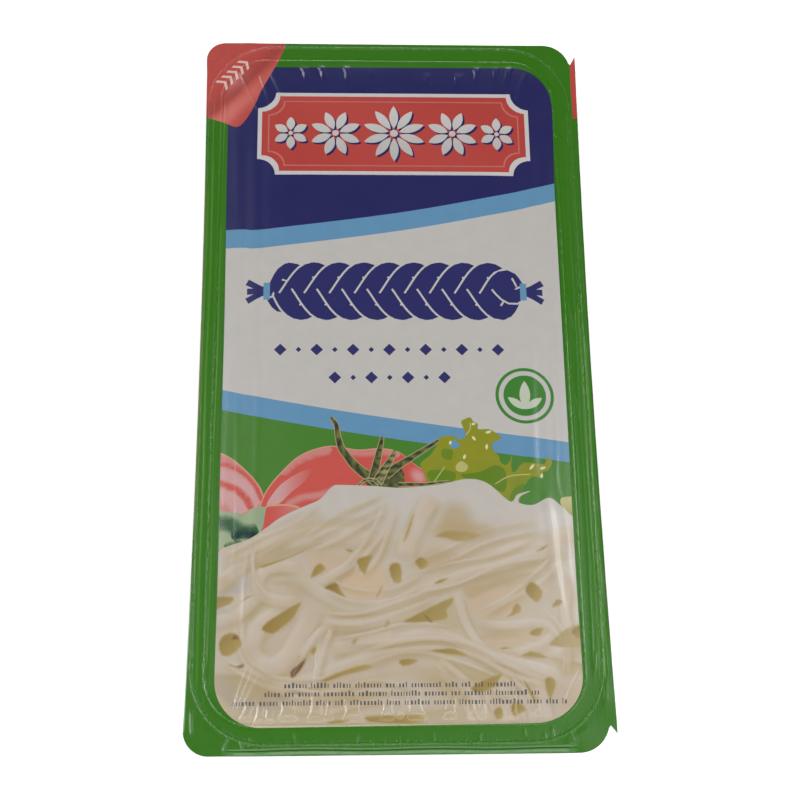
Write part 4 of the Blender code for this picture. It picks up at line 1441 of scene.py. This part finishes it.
def make_film():
    """The printed lidding film as one closed thin solid."""
    art = design_print()
    xy, top_faces = film_top(art)
    ring = boundary_loop(top_faces)
    top = np.column_stack([xy, film_height(xy[:, 0], xy[:, 1])])
    edge = xy[ring]
    edge_height = np.minimum(top[ring, 2], plain_height(edge[:, 0], edge[:, 1]) + EDGE_LIFT)
    inner, back = film_back(edge, len(top))
    points = np.vstack([top, np.column_stack([edge, edge_height - FILM_THICK]), inner])
    sides = []
    for index, here in enumerate(ring):
        after = (index + 1) % len(ring)
        low = len(top) + index
        sides += [(ring[after], here, low), (ring[after], low, len(top) + after)]
    faces = np.vstack([top_faces, np.array(sides), turned(points, back, upward=False)])

    mesh = bpy.data.meshes.new("printed_film")
    mesh.from_pydata((points * MM).tolist(), [], faces.tolist())
    set_attributes(mesh, points, faces, to_albedo(paint_corners(xy[top_faces], art.shapes)))
    set_normals(mesh, points, faces, len(top_faces))
    set_uv(mesh, points, faces, len(top_faces))
    mesh.update()
    return new_piece("printed_film", mesh, film_material(), "lid_film")


# The tray

# Wall of the tray from the base up to the flange: distance outside the rim, and height
WALL_PROFILE = ((-36.0, 0.0), (-12.5, 0.0), (-10.6, 0.03), (-9.4, 0.2), (-8.2, 0.55), (-7.2, 1.15),
                (-6.4, 1.95), (-5.8, 3.0), (-5.45, 4.2), (-5.25, 5.4), (-3.45, 14.0), (-3.25, 14.5),
                (-2.85, 14.85), (-2.45, 15.1), (-2.15, 15.5), (-2.0, 16.0), (-1.4, 18.0), (-1.2, 18.7),
                (-0.85, 19.2), (-0.3, 19.55))
FLANGE_RINGS = (0.4, 2.0, 3.9, 4.3, 4.5, 4.7, 5.1, 6.0, 6.3, 7.0, 7.9, 10.0)
INNER_RING = (-3.0, 20.2)            # the top under the film: distance outside the rim, and height
SEAL_AT = 4.5
RADIUS_GROWTH = 0.35                 # change of a ring's corner radius for each unit outside the rim,
RADIUS_SHRINK = 2.0                  # beyond the seal,
RADIUS_INWARDS = 0.3                 # and inside the rim
ARC_STEPS = 14
SIDE_STEPS = (24, 12, 24, 12)        # long and short sides in turn
DIE_HALF_HEIGHT = 0.03
WELD = 1e-5
SHARP_ANGLE = math.radians(32)


def ring_points(offset):
    """A ring at this distance outside the rim, with its straight sides divided too."""
    mid_x, mid_y, half_x, half_y, radius = RIM
    if offset < 0.0:
        radius += RADIUS_INWARDS * offset
    else:
        radius += RADIUS_GROWTH * min(offset, SEAL_AT) - RADIUS_SHRINK * max(offset - SEAL_AT, 0.0)
    corners = rounded_outline((mid_x, mid_y, half_x + offset, half_y + offset, radius), ARC_STEPS)
    count = ARC_STEPS + 1
    points = []
    for index, steps in enumerate(SIDE_STEPS):
        corner = corners[index * count:(index + 1) * count]
        start, end = np.array(corner[-1]), np.array(corners[(index + 1) % 4 * count])
        points += corner + [tuple(start + (end - start) * step / steps) for step in range(1, steps)]
    return np.array(points)


def tray_mesh():
    """The formed tray, filled, as rings from its base round the flange to the top under the film."""
    mesh = bmesh.new()

    def ring(offset, height):
        points = ring_points(offset)
        heights = np.full(len(points), height) if np.isscalar(height) else height(points[:, 0], points[:, 1])
        return [mesh.verts.new((x * MM, y * MM, z * MM)) for (x, y), z in zip(points, heights)]

    def under_film(depth):
        return lambda x, y: plain_height(x, y) - FILM_THICK - depth

    rings = [ring(offset, height) for offset, height in WALL_PROFILE]
    rings += [ring(offset, under_film(FLANGE_THICK)) for offset in FLANGE_RINGS]
    rings += [ring(offset, under_film(SEAT_GAP)) for offset in reversed(FLANGE_RINGS)]
    rings += [ring(*INNER_RING)]
    for first, second in zip(rings, rings[1:]):
        for index in range(len(first)):
            after = (index + 1) % len(first)
            mesh.faces.new((first[index], first[after], second[after], second[index]))
    mesh.faces.new(rings[0][::-1])
    mesh.faces.new(rings[-1])
    data = bpy.data.meshes.new("tray_shell")
    mesh.to_mesh(data)
    mesh.free()
    return data


def evaluated_mesh(thing):
    bpy.context.view_layer.update()
    return bpy.data.meshes.new_from_object(thing.evaluated_get(bpy.context.evaluated_depsgraph_get()))


def die_solid():
    """A tall solid with the die's outline."""
    curve = bpy.data.curves.new("die", "CURVE")
    curve.dimensions = "2D"
    curve.fill_mode = "BOTH"
    curve.extrude = DIE_HALF_HEIGHT
    outline = die_outline()
    spline = curve.splines.new("POLY")
    spline.points.add(len(outline) - 1)
    for point, (x, y) in zip(spline.points, outline):
        point.co = (x * MM, y * MM, 0.0, 1.0)
    spline.use_cyclic_u = True
    drawn = new_object("die", curve)
    data = evaluated_mesh(drawn)
    bpy.data.objects.remove(drawn, do_unlink=True)
    weld = bmesh.new()
    weld.from_mesh(data)
    bmesh.ops.remove_doubles(weld, verts=weld.verts, dist=WELD)
    bmesh.ops.recalc_face_normals(weld, faces=weld.faces)
    weld.to_mesh(data)
    weld.free()
    return new_object("die_solid", data)


def make_tray():
    """The tray with its flange cut to the film's outline."""
    tray = new_piece("tray_shell", tray_mesh(), tray_material(), "tray")
    cutter = die_solid()
    cut = tray.modifiers.new("cut", "BOOLEAN")
    cut.operation = "INTERSECT"
    cut.solver = "MANIFOLD"
    cut.object = cutter
    result = evaluated_mesh(tray)
    tray.modifiers.clear()
    tray.data = result
    bpy.data.objects.remove(cutter, do_unlink=True)
    result.shade_smooth()
    result.set_sharp_from_angle(angle=SHARP_ANGLE)
    return tray


def new_object(name, data):
    thing = bpy.data.objects.new(name, data)
    bpy.context.scene.collection.objects.link(thing)
    return thing


def new_piece(name, mesh, finish, node):
    piece = new_object(name, mesh)
    mesh.materials.clear()
    mesh.materials.append(finish)
    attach(piece, BODY)
    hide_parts(node)
    return piece


# Materials

def new_material(name):
    """A material, its node tree and its shader."""
    finish = bpy.data.materials.new(name)
    finish.use_nodes = True
    return finish, finish.node_tree, finish.node_tree.nodes["Principled BSDF"]


def set_inputs(tree, node, inputs):
    """Links each input to a socket, or sets it to a value."""
    for name, value in inputs.items():
        if isinstance(value, bpy.types.NodeSocket):
            tree.links.new(value, node.inputs[name])
        else:
            node.inputs[name].default_value = value


def add_node(tree, kind, output, inputs=None, **settings):
    """Adds a node and gives one of its outputs."""
    node = tree.nodes.new("ShaderNode" + kind)
    for name, value in settings.items():
        setattr(node, name, value)
    set_inputs(tree, node, inputs or {})
    return node.outputs[output]


def film_material():
    """Glossy printed film: the print's colours, a faint mottle, and fine crackle in its surface."""
    finish, tree, shader = new_material("printed_film")
    place = add_node(tree, "TexCoord", "Object")
    ink = add_node(tree, "VertexColor", "Color", layer_name="print")
    mottle = add_node(tree, "TexNoise", "Fac", {"Vector": place, "Scale": 260.0, "Detail": 3.0})
    tone = add_node(tree, "MapRange", "Result", {"Value": mottle, "To Min": 0.95, "To Max": 1.05})
    colour = add_node(tree, "VectorMath", "Vector", {0: ink, "Scale": tone}, operation="SCALE")

    uneven = add_node(tree, "TexNoise", "Fac", {"Vector": place, "Scale": 90.0})
    rough = add_node(tree, "MapRange", "Result", {"Value": uneven, "To Min": 0.16, "To Max": 0.28})
    dull = add_node(tree, "Attribute", "Fac", attribute_name="haze")
    rougher = add_node(tree, "Math", "Value", {0: dull, 1: 0.07, 2: rough}, operation="MULTIPLY_ADD")

    stretch = add_node(tree, "Mapping", "Vector", {"Vector": place, "Scale": (1.0, 0.32, 1.0)})
    crackle = add_node(tree, "TexNoise", "Fac",
                       {"Vector": stretch, "Scale": 1500.0, "Detail": 2.0, "Distortion": 0.6})
    peaks = add_node(tree, "MapRange", "Result", {"Value": crackle, "From Min": 0.46, "From Max": 0.80})
    amount = add_node(tree, "Attribute", "Fac", attribute_name="crinkle")
    raised = add_node(tree, "Math", "Value", {0: peaks, 1: amount}, operation="MULTIPLY")
    bump = add_node(tree, "Bump", "Normal", {"Height": raised, "Strength": 1.0, "Distance": 0.0002})
    set_inputs(tree, shader, {"Base Color": colour, "Roughness": rougher, "Normal": bump, "IOR": 1.48})
    return finish


def tray_material():
    """Milky formed sheet with a soft sheen and faint cloudiness."""
    finish, tree, shader = new_material("milky_tray")
    place = add_node(tree, "TexCoord", "Object")
    cloud = add_node(tree, "TexNoise", "Fac", {"Vector": place, "Scale": 38.0, "Detail": 4.0})
    colour = add_node(tree, "ValToRGB", "Color", {"Fac": cloud})
    stops = colour.node.color_ramp.elements
    for stop, position, tone in zip(stops, (0.3, 0.7), ((0.50, 0.49, 0.46, 1.0), (0.58, 0.575, 0.55, 1.0))):
        stop.position = position
        stop.color = tone
    grain = add_node(tree, "TexNoise", "Fac", {"Vector": place, "Scale": 900.0})
    bump = add_node(tree, "Bump", "Normal", {"Height": grain, "Strength": 0.12, "Distance": 0.0001})
    set_inputs(tree, shader, {"Base Color": colour, "Normal": bump, "Roughness": 0.34,
                              "Subsurface Weight": 0.15, "Subsurface Scale": 0.003})
    return finish


# Stage, lights and camera

CAMERA_AT = (-14.8, -143.86, 393.02)
CAMERA_TURN = (19.882, -2.12, -0.808)
FOCAL_PIXELS = 1450.0
FRAME_PIXELS = 800.0
SENSOR = 36.0
WORLD_STRENGTH = 0.13
FLOOR_HALF = 3.0
FLOOR_Z = -0.0002
LIGHT_DISTANCE = 1.1
RADIANCE_TO_WATTS = 4.0

# Area lights aimed at the pack: name, tilts in degrees from straight above to +X and to +Y, size and
# radiance.  The size is the level width, square to the way it tilts, and the height.
LIGHTS = (
    ("right_soft", 26, 8, (0.34, 0.75), 1.3),
    ("left_soft", -20, 16, (0.42, 0.46), 0.4),
    ("right_band", 40, 13, (0.36, 0.08), 9.0),
    ("left_strip", -38, 9, (0.5, 0.10), 11.0),
    ("right_strip", 50, 14, (0.6, 0.08), 12.0),
    ("left_front", -36, -14, (0.5, 0.22), 8.0),
    ("right_front", 38, -14, (0.5, 0.22), 4.5),
    ("front_strip", 4, -22, (0.8, 0.10), 5.0),
    ("back_strip", 0, 76, (0.8, 0.10), 10.0),
    ("back_left", -35, 48, (0.35, 0.10), 9.0),
    ("back_soft", 14, 56, (0.5, 0.12), 0.4),
    ("front_soft", 0, -54, (1.0, 0.5), 4.5),
)


def add_camera():
    data = bpy.data.cameras.new("camera")
    data.sensor_width = SENSOR
    data.sensor_fit = "HORIZONTAL"
    data.lens = FOCAL_PIXELS / FRAME_PIXELS * SENSOR
    data.clip_start = 0.01
    data.clip_end = 20.0
    camera = new_object("camera", data)
    camera.location = [value * MM for value in CAMERA_AT]
    camera.rotation_euler = [math.radians(value) for value in CAMERA_TURN]
    bpy.context.scene.camera = camera


def add_light(name, side, back, size, radiance):
    direction = Vector((math.tan(math.radians(side)), math.tan(math.radians(back)), 1.0)).normalized()
    data = bpy.data.lights.new(name, "AREA")
    data.shape = "RECTANGLE"
    data.size = size[0]
    data.size_y = size[1]
    data.energy = RADIANCE_TO_WATTS * size[0] * size[1] * radiance
    light = new_object(name, data)
    light.location = direction * LIGHT_DISTANCE
    light.rotation_euler = direction.to_track_quat("Z", "Y").to_euler()


def add_stage():
    corners = [(x * FLOOR_HALF, y * FLOOR_HALF, FLOOR_Z) for x, y in ((-1, -1), (1, -1), (1, 1), (-1, 1))]
    mesh = bpy.data.meshes.new("floor")
    mesh.from_pydata(corners, [], [(0, 1, 2, 3)])
    finish, tree, shader = new_material("floor")
    set_inputs(tree, shader, {"Base Color": (0.96, 0.96, 0.96, 1.0), "Roughness": 0.9,
                              "Specular IOR Level": 0.0})
    mesh.materials.append(finish)
    floor = new_object("floor", mesh)

    world = bpy.data.worlds.new("studio")
    world.use_nodes = True
    background = world.node_tree.nodes["Background"]
    background.inputs["Color"].default_value = (1.0, 1.0, 1.0, 1.0)
    background.inputs["Strength"].default_value = WORLD_STRENGTH
    bpy.context.scene.world = world
    bpy.context.scene.view_settings.view_transform = "Standard"
    for row in LIGHTS:
        add_light(*row)


add_camera()
add_stage()
make_tray()
make_film()
